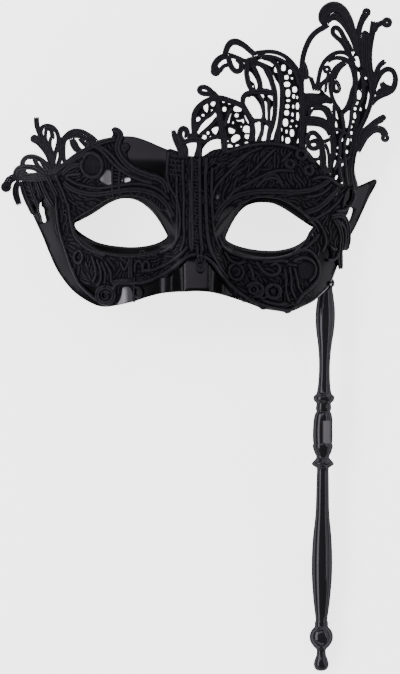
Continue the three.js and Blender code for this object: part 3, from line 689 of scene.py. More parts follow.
# Close lace: each plate is its outline and the openings that show through it.
PLATES = {
    "fan leaf": ([(195, 141), (192.8, 134), (192.4, 126), (193.4, 113), (198, 106.4), (204, 101),
                  (211, 97.8), (217, 95.8), (228, 98), (240, 102.5), (246, 107.5), (250.5, 116),
                  (253.3, 122), (254.5, 132), (253.5, 152), (228, 157), (223.5, 153), (222.5, 147),
                  (222, 141), (216, 139.6), (210, 141.6), (205.4, 145.5), (202.5, 150), (201, 160),
                  (195, 160), (196.5, 149), (197, 144.5)], [
        [(197, 131.5), (198.5, 128.5), (205, 121.5), (212, 116.5), (215, 113.3), (216.4, 115),
         (215.4, 121), (211, 126), (206, 129.6), (201.4, 133), (199, 135)],
        [(203.5, 107), (206.5, 104), (207.7, 104.5), (208, 110), (207, 113), (204.5, 111)],
        [(210.5, 104), (213, 102), (215.5, 103), (213.5, 107), (211, 106)],
        oval(212, 111.2, 2, 2.6), oval(203, 115.8, 3, 2.6), oval(198, 119.8, 5, 4, -40),
        oval(195.8, 125, 1.8, 3), oval(223.5, 102.2, 3, 2.6), oval(229.5, 103.8, 3, 2.6),
        oval(224.3, 109.8, 4, 5),
        [(218, 125), (219.6, 119.6), (222.3, 120.6), (220.6, 126)],
        [(229.6, 111), (231.6, 112), (230.2, 118), (228.8, 123.6), (226.8, 122.8), (227, 117)],
        oval(237.5, 109.5, 8.4, 6), oval(236.5, 116, 4, 4),
        [(236, 120.5), (240, 120.5), (243.5, 119.5), (243.5, 124), (241, 122), (238, 122)],
        oval(233, 123.3, 2, 2.4),
        [(244.4, 115.4), (245.8, 113.8), (248.4, 118.4), (250, 123), (249, 124.6), (246.4, 121.6)],
        oval(241.2, 127.2, 1.6, 1.8), oval(247, 130, 8.4, 7.4, 20),
        [(228.5, 128.5), (231, 128.5), (235, 131), (234, 133.5), (229.5, 133.8)],
        [(231, 141), (232, 137.5), (236, 135), (239.5, 136), (239.8, 139), (236, 142), (233.5, 143.3)],
        oval(227.2, 141, 3.2, 3.2), oval(229.6, 147.8, 6.2, 6, 30), oval(237.5, 147, 4.6, 4.2),
        oval(247.8, 137, 6.6, 5), oval(246.5, 143.8, 3.8, 3.4),
        [(211.5, 130.5), (214, 128), (218, 127.5), (218, 131), (215.5, 135)],
        oval(208, 133.5, 2.8, 3.8), oval(204, 139, 4.6, 7.4, 20), oval(210.5, 137.5, 2, 2)]),
    "crest": ([(246, 62.6), (251, 59), (256.4, 56.4), (262, 59.5), (269, 62), (272.6, 67), (274, 72),
               (278.4, 79), (281.6, 88), (282.3, 105), (281, 118), (279, 131), (276, 147), (251, 150),
               (253.5, 142), (254.5, 134), (254, 125), (250, 119.5), (246.5, 114), (242.5, 108.5),
               (240.5, 103), (241, 97.5), (244, 93.5), (249, 91), (247, 85), (245, 80), (244, 72)], [
        [(248.3, 74), (249, 72), (251, 73), (254, 77), (256.5, 82), (257.5, 87), (256, 90),
         (255, 87.5), (254, 84), (250.5, 81), (249.5, 76)],
        oval(253, 87, 1.8, 1.8),
        [(254.5, 68), (257, 66.5), (262, 69), (265, 74), (268, 80), (270, 86), (271, 90.5),
         (267, 89), (263, 88.5), (262, 84), (260.5, 78), (257, 73)],
        [(257.5, 61), (260, 60), (265, 59.4), (270, 60.5), (273.5, 63), (272, 67.5), (270, 66.5),
         (265, 64), (260, 62)],
        [(245.5, 99), (247, 97.5), (249.5, 98), (251, 96.5), (254, 97.5), (257, 101), (260, 106),
         (261.5, 111), (262, 115), (260.5, 119), (256, 119.3), (253, 118), (250, 113), (247, 108),
         (245, 104)],
        oval(261.8, 97, 4.4, 4.4),
        [(267.5, 96.5), (271, 95), (273, 97.5), (274, 101), (272.5, 101.5), (270.5, 99.5)],
        [(263.5, 104), (264.5, 101.5), (266.5, 103), (267, 110), (267.5, 118), (267, 121),
         (265.5, 118), (264.5, 110)],
        [(274, 105), (274, 110), (273, 118), (271.5, 125), (270, 123), (270, 114), (271, 109)],
        [(255, 123), (258, 121.5), (261, 124), (260.5, 130), (258, 137), (255.5, 142),
         (254.5, 140), (255.5, 133)],
        [(265, 125.5), (268.5, 128), (268, 133), (266, 141), (261.5, 141), (263.5, 134)],
        [(270, 72.5), (272.4, 74.5), (275.4, 80), (278.2, 84), (279.8, 92), (279.6, 100), (279.2, 110),
         (278.2, 118), (276.3, 128), (274.4, 134), (272.6, 140), (270.2, 140), (273, 131),
         (274.6, 126), (276.4, 118), (277.3, 110), (277.6, 100), (277, 92), (275, 84), (272.2, 79)]]),
    "ladder": ([(262, 57), (272, 58), (281, 61), (288, 65.5), (294, 73), (298, 82), (300, 90),
                (302.5, 92), (302.5, 150), (275, 149), (278.5, 131), (280.5, 118), (281.8, 105),
                (281.8, 92), (280, 84), (275.5, 76), (271, 69), (274, 66), (273, 61.5), (264, 59.5)], [
        oval(277.2, 62.8, 2, 1.2), oval(276.4, 70.2, 5, 6), oval(283.3, 68.3, 4.6, 6.4),
        oval(289.8, 72.3, 3.6, 4.6), oval(280.6, 76, 3.6, 4.2), oval(286.3, 77.8, 4.6, 4.6),
        oval(291.8, 78.8, 2.4, 2.4), oval(286.8, 84.8, 6.4, 5.4), oval(294.5, 90, 5, 6),
        oval(287.8, 93.5, 4.6, 8), oval(293.5, 96.8, 3, 4.4), oval(297, 97.8, 2, 3.4),
        oval(288, 101, 4, 2.8), oval(287.2, 106.8, 4.4, 4.4), oval(293, 107, 2.2, 4),
        oval(297.3, 106.5, 3.4, 7), oval(286.5, 113.3, 5, 5.4), oval(292.3, 115, 2.4, 4),
        oval(297.5, 116.8, 3, 8.4), oval(285.3, 123, 5.4, 8), oval(292, 121.3, 2.8, 2.4),
        oval(281.5, 130, 1.2, 4), oval(286.3, 132, 2.4, 4), oval(282.3, 139, 1.6, 6),
        oval(287.5, 140.8, 5, 6.4), oval(277.5, 141, 1.2, 1.6), oval(291.8, 133.4, 4.4, 7.4),
        oval(290.5, 127, 2.2, 2), oval(296.2, 126.4, 1.6, 2.4),
        [(300.6, 129), (302, 131), (301, 137), (298.6, 143), (296.6, 143.6), (298, 138)],
        [(303, 138), (304.4, 139), (303.8, 144.6), (302, 146), (302, 141)],
        [(296, 74), (297, 75), (299.4, 81), (300, 86), (298.8, 84.5), (297, 79)]]),
    "tall stem": ([(300, 149), (300.2, 100), (301, 74), (303, 58), (305, 62), (307.8, 69),
                   (308.4, 76), (304.5, 79.6), (304, 93), (311.5, 93.4), (319.8, 93.2), (320.6, 89),
                   (325, 94), (330, 98), (332, 104), (325, 103.5), (318, 106.5), (311, 108), (308.5, 116),
                   (305.5, 125), (304, 149)], [
        oval(305, 77.8, 1.8, 1.6)]),
    "stem": ([(333, 98), (340, 110), (346, 107.5), (350, 99), (352.5, 92), (354.5, 84), (353, 72),
              (350.5, 64), (354, 54), (357, 50), (361.5, 52), (363.5, 62), (369, 62), (371.5, 76),
              (373.8, 84), (372.8, 96), (370.5, 106), (366.5, 118), (361.5, 128), (362, 138),
              (358.5, 147), (355.5, 152), (354.3, 160), (354, 168), (355, 175), (357.5, 187),
              (345, 187), (337, 183.5), (330, 176), (329, 172), (330.5, 163), (332, 155),
              (331, 146), (330, 139), (331.5, 133), (331.5, 126), (332.5, 118), (333, 108.5)], [
        oval(331.8, 114.5, 2, 4.6),
        [(334.5, 112), (335.5, 110), (337, 114), (338, 119.5), (336.5, 119)],
        [(344, 114.5), (346.5, 112.5), (349, 110.5), (350, 114), (349, 120), (347.5, 127.5),
         (346, 128), (345, 122)],
        [(354.6, 57), (357.4, 56.4), (359.2, 61), (360, 65.4), (358.5, 67.5), (355.3, 64.5)],
        oval(361.7, 57.5, 1.2, 5, -15), oval(364.7, 70, 1.6, 5), oval(365.3, 78.4, 3.4, 2.8),
        oval(364.5, 84.5, 1.6, 1.6),
        [(357, 72.5), (358.5, 72), (360, 76), (359, 79.5), (357.5, 82.5)],
        [(351, 100), (352.2, 95.8), (354.2, 96.2), (353.8, 100), (352, 102.8)],
        [(357, 92), (358.5, 90), (361, 92.6), (361.6, 97), (360, 99.8), (357, 98.8)],
        oval(362.5, 91, 3.4, 2, 40), oval(357.2, 103.4, 5.6, 3.4), oval(355, 108.8, 3, 3.6),
        oval(359.8, 109.3, 3.4, 3.6), oval(354.8, 115.8, 3, 6.4), oval(352.8, 121.8, 3, 2.6),
        oval(356.2, 124.2, 2, 7.4),
        [(368.3, 91), (369.5, 96), (368.5, 101), (366.5, 109), (365.3, 108.5), (367, 100),
         (367.8, 94)],
        [(335, 160), (336, 161), (333.5, 167.5), (332, 167)],
        oval(329.8, 174, 1.6, 2), oval(336.3, 177.5, 2.4, 5, 20), oval(342, 183, 2.2, 2.2),
        oval(346.5, 184.4, 1.6, 1.4), oval(342.5, 165.8, 2.6, 5.4), oval(337.4, 148, 1.6, 2.4),
        oval(336.5, 154.3, 1.4, 2.4), oval(342, 139.8, 2, 4.4),
        [(345.8, 145), (346, 143), (348, 138), (349.3, 139.5), (348, 144.8)],
        oval(350.7, 146.8, 1.4, 2.4), oval(346.8, 152, 2.4, 4), oval(340.5, 157.5, 1.2, 1.4),
        oval(343.5, 157.5, 1.2, 1.4), oval(346.3, 158.5, 1.2, 1.4), oval(351.3, 133, 2.4, 3.8),
        oval(351.3, 127, 2.2, 2.8), oval(337, 132.5, 2, 2.2), oval(335.8, 124.6, 2.6, 6.6, -12),
        oval(358, 145.8, 1.4, 3.2), oval(361, 132.2, 1.4, 2),
        oval(343, 150.5, 1.2, 3), oval(351, 140, 1.2, 3), oval(350.5, 163, 1.4, 4),
        oval(349, 172, 1.4, 3)]),
}


# Laid cords: the width in squares that they cover side by side, or a row of widths from one end
# of the line to the other, and the line that they follow.
PLUME_CORDS = {
    "fan dome": ((5.2, 5.2, 5.6, 5.2, 5), [(195, 138.5), (194, 131), (193.6, 124), (194.5, 114),
        (198.6, 107.4), (204.5, 102.7), (210.4, 100), (216, 98.4), (222, 98.9), (230, 101.4),
        (239, 104.9), (244, 108.2), (248, 116), (251, 122), (252, 132), (250.5, 142)]),
    "fan bud": (4.8, [(213, 95.4), (209, 94.6), (205, 94.3), (201.2, 93.4), (199.3, 90.8), (200.4, 88.4),
        (204, 87.6), (208.5, 89.4), (212, 92.8)]),
    "fan bud stalk": ((6.4, 5, 4), [(209.6, 92.4), (214, 94.4), (219, 99.4)]),
    "fan leaf edge": (3.2, [(196.5, 131.6), (199.4, 125.6), (205.6, 118.8), (211.8, 114), (216, 110)]),
    "fan leaf underside": (3.6, [(199.3, 136.2), (206.3, 130.2), (212.5, 124.2), (217.8, 117.5)]),
    "fan trunk": ((6.6, 6.4, 5, 4), [(224.6, 152), (223.8, 140), (222.2, 130), (220, 118), (218, 108),
        (217, 100)]),
    "fan vein": (3, [(225, 128), (226, 122), (229, 114), (232, 109)]),
    "fan foot": (3.6, [(203, 143), (208, 140.4), (215, 138), (222, 137.4), (229, 140)]),
    "fan root": (3.4, [(222, 141), (223.5, 149), (226, 154)]),
    "thorn": ((4.2, 6, 6.8, 7.6), [(173.2, 130.4), (175, 138), (178.2, 145), (181.4, 151.6),
        (184, 158)]),
    "small loop": (5.4, [(186.6, 139), (187.2, 133), (185.2, 129.6), (182.3, 129.2), (180, 132.6),
        (180.4, 138), (183, 142)]),
    "loop side": (3.4, [(190.4, 133.2), (191, 139)]),
    "loop band": (5, [(178, 141.4), (184, 142.4), (191, 140.8), (197, 140.8), (204, 142)]),
    "loop feet": ((5, 5, 7), [(199.8, 142), (198.6, 149), (197, 158)]),
    "loop heel": ((5, 7.6, 8), [(182, 142), (184.6, 150), (184.6, 159)]),
    "crest arch": ((5.4, 5.4, 5.6, 6.4, 6.6, 6, 5.6), [(255.2, 55.8), (249.3, 50.5), (243.3, 45.6),
        (237, 42.5), (231.8, 42.8), (228.2, 46.3), (226.1, 51), (225, 56)]),
    "crest sill": ((3.8, 3.8, 4.4, 5), [(250, 63), (243.4, 60.8), (236, 57.8), (227.6, 55.2)]),
    "crest bulb": ((5.4, 6.2, 6.4, 6.6, 6, 4.6, 4, 4), [(228, 56), (221, 58.2), (216, 63), (213.9, 69),
        (215.6, 72.6), (219.8, 71.2), (224, 66.6), (229, 65.2)]),
    "crest drop": (5.2, [(228, 57), (229.9, 64), (233, 69.8), (237, 72), (240.5, 70.2), (241.4, 66),
        (239.8, 62), (236, 59.4)]),
    "crest left": (4.6, [(246.9, 62), (246.7, 74), (247.6, 82), (250.6, 89), (254, 92.5)]),
    "crest middle": (4, [(252, 64), (256.5, 73), (259.4, 80), (260.6, 87), (260.4, 93)]),
    "crest right": (4.6, [(256, 62.6), (263.4, 67), (268, 71.4), (270.8, 78), (273.1, 88), (274.8, 98),
        (275, 110), (273.4, 121), (269.8, 130.5), (267.8, 143)]),
    "crest outside": (4.4, [(262, 58), (270, 60.2), (276.4, 65.3), (279.4, 73), (281.2, 82), (281.9, 92),
        (281.5, 105), (280.2, 118), (278.6, 130), (276.4, 145)]),
    "outer arc": ((3.9, 4.1, 4.3, 4.8), [(253, 54.8), (257, 53.2), (262, 52.6), (270, 52.1),
        (277.8, 53.5), (285.1, 57.1), (291.3, 62.7), (296.1, 69.1), (299.6, 75)]),
    "inner arc": (2.8, [(257, 56.6), (266, 56.5), (274, 57.4), (281.7, 60.4), (287.8, 64.4),
        (292.6, 69.8), (296.1, 76), (298.8, 86)]),
    "crest tie": ((4, 5.4, 4.4), [(249, 92.5), (258, 92.3), (266, 92.5), (275, 95)]),
    "crest hook": (4.2, [(252, 92.6), (246.4, 94), (242.8, 98), (242.8, 103.5), (245.5, 109.5),
        (249.5, 116), (253, 120.7), (258.5, 121)]),
    "crest inner": (3, [(258, 95), (262, 100.5), (263.3, 107), (263.6, 116), (262, 123), (261.8, 131),
        (258.5, 143)]),
    "crest vein": (2.8, [(268.5, 98), (269, 108), (268.7, 120), (269.5, 130), (266.5, 143)]),
    "crest floor": (3, [(251, 121), (258, 120.5), (266, 122.4), (272, 126)]),
    "stem left": ((4.6, 4.6, 5, 5, 5.4, 5.6), [(301.5, 150), (302, 130), (301.6, 100), (301.4, 72),
        (303, 57), (306.5, 46), (311.5, 36.9), (318, 30.9), (324.1, 27.5), (328.4, 24.2)]),
    "stem lobe": ((2.4, 4, 4.2, 3), [(303.4, 64), (304.4, 69), (305, 75), (304, 80)]),
    "small horn": (4.7, [(352, 53), (348.1, 45), (343.9, 37.8), (340, 30.8), (335.9, 27.8),
        (332.9, 29.4), (332.9, 33.8), (336.1, 37.3), (340.2, 40.8), (344.6, 46.6), (348.4, 53.8)]),
    "horn stalk": ((5.6, 4.6, 4.2, 4.2, 5, 5.6, 5.4, 4.8), [(347, 49), (350.4, 57), (353, 64), (355, 72),
        (355.6, 82), (352.6, 91), (350.8, 99), (347.2, 107.6), (342, 113.4)]),
    "arch": (4.2, [(355, 62), (350.3, 56.8), (345.3, 53.3), (340, 52.5), (334.4, 53.7), (328.7, 57.4),
        (323.9, 62.5), (320.7, 69), (318.9, 76.4), (317.6, 84), (316.6, 92)]),
    "arch underside": ((3.6, 4, 4.8, 5.8), [(327, 62.2), (333, 58.8), (340, 58.3), (346, 60.4),
        (352, 64)]),
    "leaf left": (3.8, [(343, 62.4), (336, 67.5), (332, 74), (330.2, 81), (330.2, 89), (331.8, 96.5),
        (335, 104), (340, 111)]),
    "leaf right": (3.4, [(349, 63), (352.6, 72), (354, 80), (353.6, 88)]),
    "leaf edge": ((4.4, 6, 5.4, 3.8), [(346, 62.6), (339.6, 67.1), (336, 73.2), (334, 80.4)]),
    "leaf drop": (4, [(335, 79.6), (333.4, 85.2), (333.8, 90), (336.2, 92), (338.8, 90.6), (339, 87.2),
        (337.2, 83.2), (335.2, 80.8)]),
    "ring stalk": ((3.2, 3.4, 4.4, 4.4), [(328.2, 73), (327.4, 78), (323.6, 82.4), (320.2, 86),
        (318.8, 92)]),
    "crescent": (2.6, [(328.4, 76), (326.4, 82), (325.6, 88), (325.2, 93)]),
    "fork": (4.2, [(310.4, 78), (312.6, 83.5), (314.6, 91)]),
    "fork left": (2.6, [(304, 79.6), (308.4, 77.6), (311.4, 79)]),
    "panel foot": ((4.4, 5.6, 7.6, 6.6, 4.4), [(312, 109), (319.3, 107.8), (325.3, 109.6),
        (328.8, 115.2), (331.6, 126)]),
    "panel corner": ((5.4, 4, 2.6), [(311.6, 108.4), (310, 112.6), (308.6, 117)]),
    "hook band": ((9.6, 10.2, 9.4, 7.4), [(304, 121.6), (309, 121.3), (316, 121.6), (323, 123.5),
        (328.3, 128.1), (332, 135.4)]),
    "curl": (4.8, [(322.2, 144), (318.6, 137.2), (313.8, 133.1), (309.6, 134), (307.2, 138.6),
        (307.8, 144), (310.6, 148.2), (315, 148.8), (319, 146.2)]),
    "curl heart": ((3.4, 3.8, 5.4, 6.4), [(308.8, 143.8), (312.2, 141.6), (316.4, 141.4),
        (319.6, 143.8)]),
    "curl tie": (3.6, [(319, 141), (324, 141.6), (331, 139)]),
    "curl stalk": ((4.4, 6.6, 6.8, 6), [(320.4, 143), (322, 150), (322.8, 158), (323.2, 166),
        (326.6, 174)]),
    "curl foot": (3.4, [(305.2, 146), (305.4, 152.2), (309, 158.2), (314.4, 159.8), (319, 158.6),
        (321.4, 154)]),
    "side strand": (3.2, [(324.4, 143), (327.5, 150), (328.9, 158), (329.2, 166), (330.4, 175)]),
    "low strand": (4.2, [(331, 136), (332.4, 146), (332.6, 156), (330.6, 168)]),
    "right stem": ((3.8, 3.6, 5.2, 6.2, 6, 6, 6.4, 7.8), [(362, 68), (360.8, 60), (359.2, 52),
        (358.2, 44), (358, 37), (359.3, 28), (362.2, 20), (365.8, 13.8)]),
    "column": ((7.2, 8.4, 7.6, 6.2), [(365.4, 33.4), (365.2, 47), (365.6, 61), (367, 76)]),
    "sprig": ((7.2, 6, 5, 4.8, 5.2), [(374.4, 21.2), (372.7, 30), (370.3, 45), (369.6, 60), (371.4, 75),
        (373, 86)]),
    "sprig shoulder": ((3, 4, 3), [(368.2, 34), (369, 38), (370, 44)]),
    "sprig branch": ((5.2, 5.2, 5.4), [(374, 31.8), (377, 26), (380.8, 23.5), (385, 22.2)]),
    "right twig": ((5.2, 4.8, 4.4, 4.4), [(385.4, 60.8), (380, 65.2), (376.4, 71.8), (374.2, 79),
        (372.6, 88)]),
    "right loop": ((3, 3.2, 3.6, 4.4, 5.2, 5.2, 5, 5.4, 6, 6, 5.4, 5, 5), [(372.6, 98), (375, 88),
        (378, 79.2), (381.8, 72.5), (386.9, 69.3), (391.9, 70.3), (395, 75.4), (395.2, 82.4),
        (392.2, 89.4), (387, 93), (381, 95.8), (376, 99), (371, 104.6)]),
    "loop heel right": ((4, 6, 5), [(375.6, 96), (380, 91.6), (385, 88.4)]),
    "loop spike": ((6, 8.4, 7, 4), [(392, 89), (387, 88.8), (383.4, 86), (381.4, 81.6)]),
    "low twig": ((3, 4, 6.4, 7.2), [(359.5, 133.2), (366.6, 128), (375.4, 122.4), (382.6, 118.2)]),
    "low hook": ((9.6, 10.4, 8.8, 7.6, 7.4, 7.6), [(355.6, 151), (361, 140.8), (367.2, 133.8),
        (375, 129.2), (382, 130.2), (385.8, 136)]),
    "stem right": (4.6, [(368, 62), (369.4, 75), (371.8, 88), (371, 101), (368.2, 110.6), (365, 118.6),
        (360.4, 127.6), (357, 137), (356.8, 146), (354.2, 154), (352.8, 162), (352.2, 170), (353, 178),
        (355, 187)]),
    "stem braid": (3.2, [(360.4, 70), (362.8, 78), (363.4, 88), (362.4, 98), (359.4, 104.6),
        (357.5, 112), (357.6, 120), (354.5, 130), (353, 142), (350.5, 152), (349, 162), (349.6, 175),
        (350, 186)]),
    "stem rib": (3, [(355.6, 84), (355.2, 94), (355.2, 101), (352.4, 107), (350.8, 114), (350.6, 121),
        (348.4, 130), (345, 141), (344, 151), (345, 163), (346, 175), (347.4, 185)]),
    "stem strand": (3, [(341, 112), (342.6, 120), (343.4, 130), (340, 140), (339.8, 150), (338.6, 160),
        (339.5, 172), (342, 182)]),
    "stem side": (3.2, [(333.6, 105), (334, 118), (332.7, 132), (334.6, 142), (334, 152), (333.2, 158)]),
    "stem cross": (2.8, [(332.6, 131), (337, 129), (342.6, 132), (347.3, 135), (352, 137.5)]),
    "stem cross low": (2.8, [(334, 170), (338.8, 162), (344, 160), (350, 156)]),
    "spray spike": ((5, 5.2, 5.4, 5.6), [(36.5, 117), (36.9, 125), (39, 131.5), (42.6, 140),
        (47.1, 149.5), (50.8, 160), (52.8, 172)]),
    "spray bud": ((8.4, 7.8, 5.8, 4.8), [(34.2, 138.6), (38.8, 141.2), (43.8, 147), (48.2, 155),
        (51.3, 165)]),
    "spray leaf": (4, [(42, 139), (40.8, 131.8), (42.2, 127.6), (46, 125.8), (51.6, 126.6), (55.6, 130),
        (58, 135), (58.6, 141), (57.4, 147), (55.6, 153), (54, 161), (53, 172)]),
    "leaf vein": (3.2, [(46.4, 127), (45.7, 133), (45.6, 138), (47.6, 144), (49.8, 150), (51.5, 158)]),
    "leaf top": ((3, 4.4, 3), [(44.6, 128.2), (49, 129), (53.4, 129.2)]),
    "leaf short vein": ((4, 3.8, 4.6, 3.6), [(50.8, 128), (51.8, 132), (52.5, 136), (52.9, 139.8)]),
    "leaf low vein": ((3, 3.6, 4), [(50.8, 137), (50.2, 146), (51.8, 152), (53, 162)]),
    "spray twin": ((4.2, 4.2, 4.2, 5), [(60.4, 137), (59.9, 145), (60.5, 152), (60.4, 158), (58.2, 165),
        (56.2, 172)]),
    "spray twin right": (3.9, [(65.8, 137), (64.2, 143), (63.6, 152), (64.3, 160), (66.4, 167)]),
    "spray arch": ((5, 7, 9.4, 9.4, 8.8, 6.6), [(61.6, 143.4), (65.8, 138), (72, 134.2), (80, 133.9),
        (88, 137.4), (97, 143.2)]),
    "arch leaf": ((5, 7.6, 7.2, 4.6), [(71.6, 138.6), (74, 144), (77.1, 149.2), (81.6, 151.6)]),
    "arch rib": (4, [(79.2, 138.4), (82.7, 142.2), (85.5, 145.2), (88.2, 148.2)]),
    "arch rib two": (3, [(85.6, 138.6), (88.4, 142.6), (90.4, 146.4)]),
    "arch rib three": (2.4, [(90.6, 139.6), (92, 143), (94.4, 146)]),
    "arch edge": (3.4, [(66.8, 167.6), (73.8, 161), (81.2, 155.2), (89, 149.8)]),
    "low leaf": (4.8, [(22, 168), (22.7, 161.6), (25.9, 157.7), (31.2, 156.6), (37, 157.8),
        (42.8, 161.2), (47.4, 165.6), (52, 171.6)]),
    "low leaf rib": (4.2, [(34, 158), (36.1, 163), (39.7, 168), (43.2, 172.2)]),
    "low leaf rib two": (4.2, [(41, 160), (43.4, 164.6), (45.8, 168.2), (49.4, 172.6)]),
    "low leaf floor": (5.4, [(16.8, 178), (15.4, 172.6), (17.8, 168.8), (22.2, 167), (28.2, 166.8),
        (34.2, 167.8), (39, 170.4), (45, 174)]),
    "low leaf tie": (5, [(18, 175), (22.8, 172.6), (26.6, 170.8)]),
    "wing band": ((5, 8, 8.6, 8), [(16, 177.6), (24, 177), (33, 177), (48, 176)]),
    "spray arm": ((6, 7, 8, 8.6), [(22, 177.6), (14.4, 176.8), (8.8, 180.2), (6.2, 185.4)]),
    "wing drop": ((4.6, 5.8, 6.6, 6.2, 5), [(19, 180), (15.8, 186), (15.3, 193), (16.8, 199),
        (18.8, 204.6)]),
    "wing leaf": ((4.4, 5.4, 5.4, 4.4), [(20.7, 181), (23.5, 191), (26.5, 199), (30.1, 207),
        (33, 213.6)]),
    "wing leaf two": (3.8, [(29, 181), (32, 191), (35, 199), (38.2, 207)]),
    "wing leaf three": (3.6, [(35, 180), (38.5, 189), (41, 196)]),
}
# The cap over the tall loop: the borders of its two bands, then how many cords lie in each band.
CAP_RIMS = {
    "outside": [(324.4, 27), (320.1, 22), (319.5, 15.4), (322.8, 8.8), (329, 4.5), (336, 3.9),
        (343.2, 7.6), (349.6, 16.5), (353.8, 27), (356.6, 38.4), (358, 47), (358.4, 54)],
    "over the slit": [(326.4, 24), (325.8, 19), (328, 14.4), (331.2, 11.8), (335.4, 10.9), (340, 12.6),
        (345.6, 20.4), (350.4, 30), (353.8, 40), (356, 48), (357.4, 54)],
    "under the slit": [(327, 23), (327.6, 18.8), (330.4, 16), (333.6, 14.6), (336.8, 14.7),
        (340.4, 17.6), (344.8, 23.2), (349.6, 32.4), (353, 41.8), (355, 48.6), (356.4, 54)],
    "inside": [(328, 24.4), (329.6, 22.2), (331.6, 20.4), (333.8, 19.6), (336.6, 20), (339.8, 22),
        (343.8, 27), (348.2, 34.8), (351.6, 43), (353.8, 49), (355.4, 54)],
}
CAP_CORDS = (("outside", "over the slit", 4), ("under the slit", "inside", 3))
LEFT_CORDS = {
    "wing fold": (4.6, [(40, 178), (43.5, 188), (48, 197), (53, 206)]),
    "wing fold two": (4.6, [(48, 176), (52.5, 186), (57.5, 196)]),
    "wing fold three": (2.6, [(56, 174), (60, 184), (64.5, 194), (67.5, 204)]),
    "junction": (4.8, [(48, 172), (54, 171), (60, 168)]),
    "brow top": (5, [(54, 172), (64, 165), (76, 156), (88, 149), (99, 144), (110, 140.6), (117, 139)]),
    "disc ring": (3.4, [(84, 160), (87, 155), (92, 153.6), (98.6, 156.6), (102.4, 162), (102.6, 169),
        (99, 175.6), (93, 177.4), (87, 175), (83, 169.6), (82.2, 164), (84, 160)]),
    "disc strands": (4.6, [(66, 167), (72, 160.5), (79, 157), (86, 154)]),
    "disc strands low": (4.6, [(62, 174), (70, 168), (78, 165), (82, 166)]),
    "disc fan": (2.6, [(66, 176), (74, 174.6), (82, 174)]),
    "vine": (5.4, [(113, 129.6), (118, 131), (121, 135), (119.4, 141), (117.6, 147.6), (119, 153.6),
        (124, 161.5), (132, 168.6), (140.4, 173), (151.6, 177), (161, 180), (166, 186), (168, 194)]),
    "vine mate": (3, [(92, 146), (100, 149.6), (108, 157.6), (114.6, 164.6), (123, 171.4), (132, 176.6),
        (143, 181), (153, 184)]),
    "vine twin": (3, [(98, 146), (106, 150.6), (113, 157), (121, 166), (131, 173)]),
    "brow ladder left": (2.4, [(113, 166), (112.6, 178), (113, 190), (114, 200)]),
    "brow ladder right": (2.4, [(120.6, 170), (119.6, 180), (120, 190), (121, 196)]),
    "lid cords": (4.8, [(64, 182), (71, 188), (82, 192.4), (94, 194.4), (106, 193.6), (121, 191),
        (135.7, 190), (150, 192.6), (161, 198.6), (169, 208), (174, 218)]),
    "lid cords high": (2.6, [(66, 177), (76, 183), (88, 186.6), (100, 188.4), (121, 185.4), (135.7, 184),
        (150, 186), (161, 191), (170, 200)]),
    "temple cords": (2.6, [(56, 196), (57, 208), (58, 220), (60, 232), (64, 245), (68.6, 259), (73, 271),
        (78, 281)]),
    "under eye": (2.8, [(68.6, 203), (70, 214), (72, 226), (76, 237), (84, 246), (95, 252.4),
        (106, 256)]),
    "cheek oval": (2.8, [(78, 251), (74.6, 256), (76.6, 262.6), (81, 262.4), (83, 257), (81, 251.6),
        (78, 251)]),
    "cheek edge": (2.8, [(73, 268), (77, 280), (84, 289), (92, 296), (98, 301)]),
    "cheek ring": (4.4, [(106, 286.6), (112, 289), (114.4, 295), (112, 301), (106, 303.4), (99.6, 301),
        (97.4, 295), (100, 289), (106, 286.6)]),
    "ring tie": (3.4, [(113, 290), (117.5, 284), (123, 281), (130, 281)]),
    "spike": (2, [(134.6, 277), (134.3, 290), (134.4, 301.6)]),
    "spike bud": (3, [(135, 287), (140, 289), (141.4, 293.6), (138.6, 297), (135, 296)]),
    "cheek border": (3, [(112, 284), (124, 283), (137, 283.4), (147, 281.6), (158, 277), (167, 272.4),
        (175, 266.6), (184, 259.8), (190, 256), (197, 254.6)]),
    "cheek border top": (3, [(143, 271), (154, 270), (165, 265.4), (174, 260), (182, 254), (188, 247)]),
    "eye corner": (2.6, [(176, 222), (178.6, 234), (175.4, 244), (168, 250), (160, 253.6)]),
    "nose left": (2.6, [(169, 153), (167.6, 166), (168, 180), (171.6, 190), (177, 199), (180, 212),
        (180.4, 226), (178.6, 238), (172.4, 247)]),
    "braid left": (2.8, [(192, 158), (192.4, 178), (192.2, 200), (192.4, 222), (193, 240), (192, 252)]),
    "braid right": (2.8, [(199.6, 158), (199.8, 178), (200, 200), (200.2, 222), (201, 240), (203, 252)]),
    "pendant loop": (2.4, [(196.5, 259), (196.9, 267), (200, 271.6), (203.8, 269), (204.6, 259)]),
    "nose rope three": (2.6, [(190.4, 180), (190.6, 205), (190.2, 230), (191, 250)]),
    "nose rope two": (2.6, [(177, 176), (177.4, 200), (177.6, 222), (177, 240), (171, 251)]),
    "nose rope": (2.6, [(183, 160), (183.4, 180), (184.4, 200), (184, 220), (184.4, 240), (181, 252)]),
    "cheek bar": (4.6, [(113, 283), (123, 281), (133, 282)]),
    "cheek m": (2.6, [(135, 273), (136.4, 263), (140, 261.4), (142.6, 266), (143, 273), (144, 264),
        (147, 261.4), (149.6, 266), (149, 273)]),
    "cheek posts": (4.6, [(130.6, 258), (130.6, 270), (131, 280)]),
    "cheek vee": (2.6, [(120.6, 262), (125, 270), (129.4, 261)]),
    "comb four": (2.6, [(105.4, 262), (111, 273), (112, 283)]),
    "comb three": (2.6, [(101.4, 262), (106, 273), (105, 284)]),
    "comb two": (2.6, [(97, 259), (101, 270), (101, 281), (97, 286.6)]),
    "comb one": (2.6, [(92, 256), (95, 265), (96.4, 275), (93, 283)]),
}
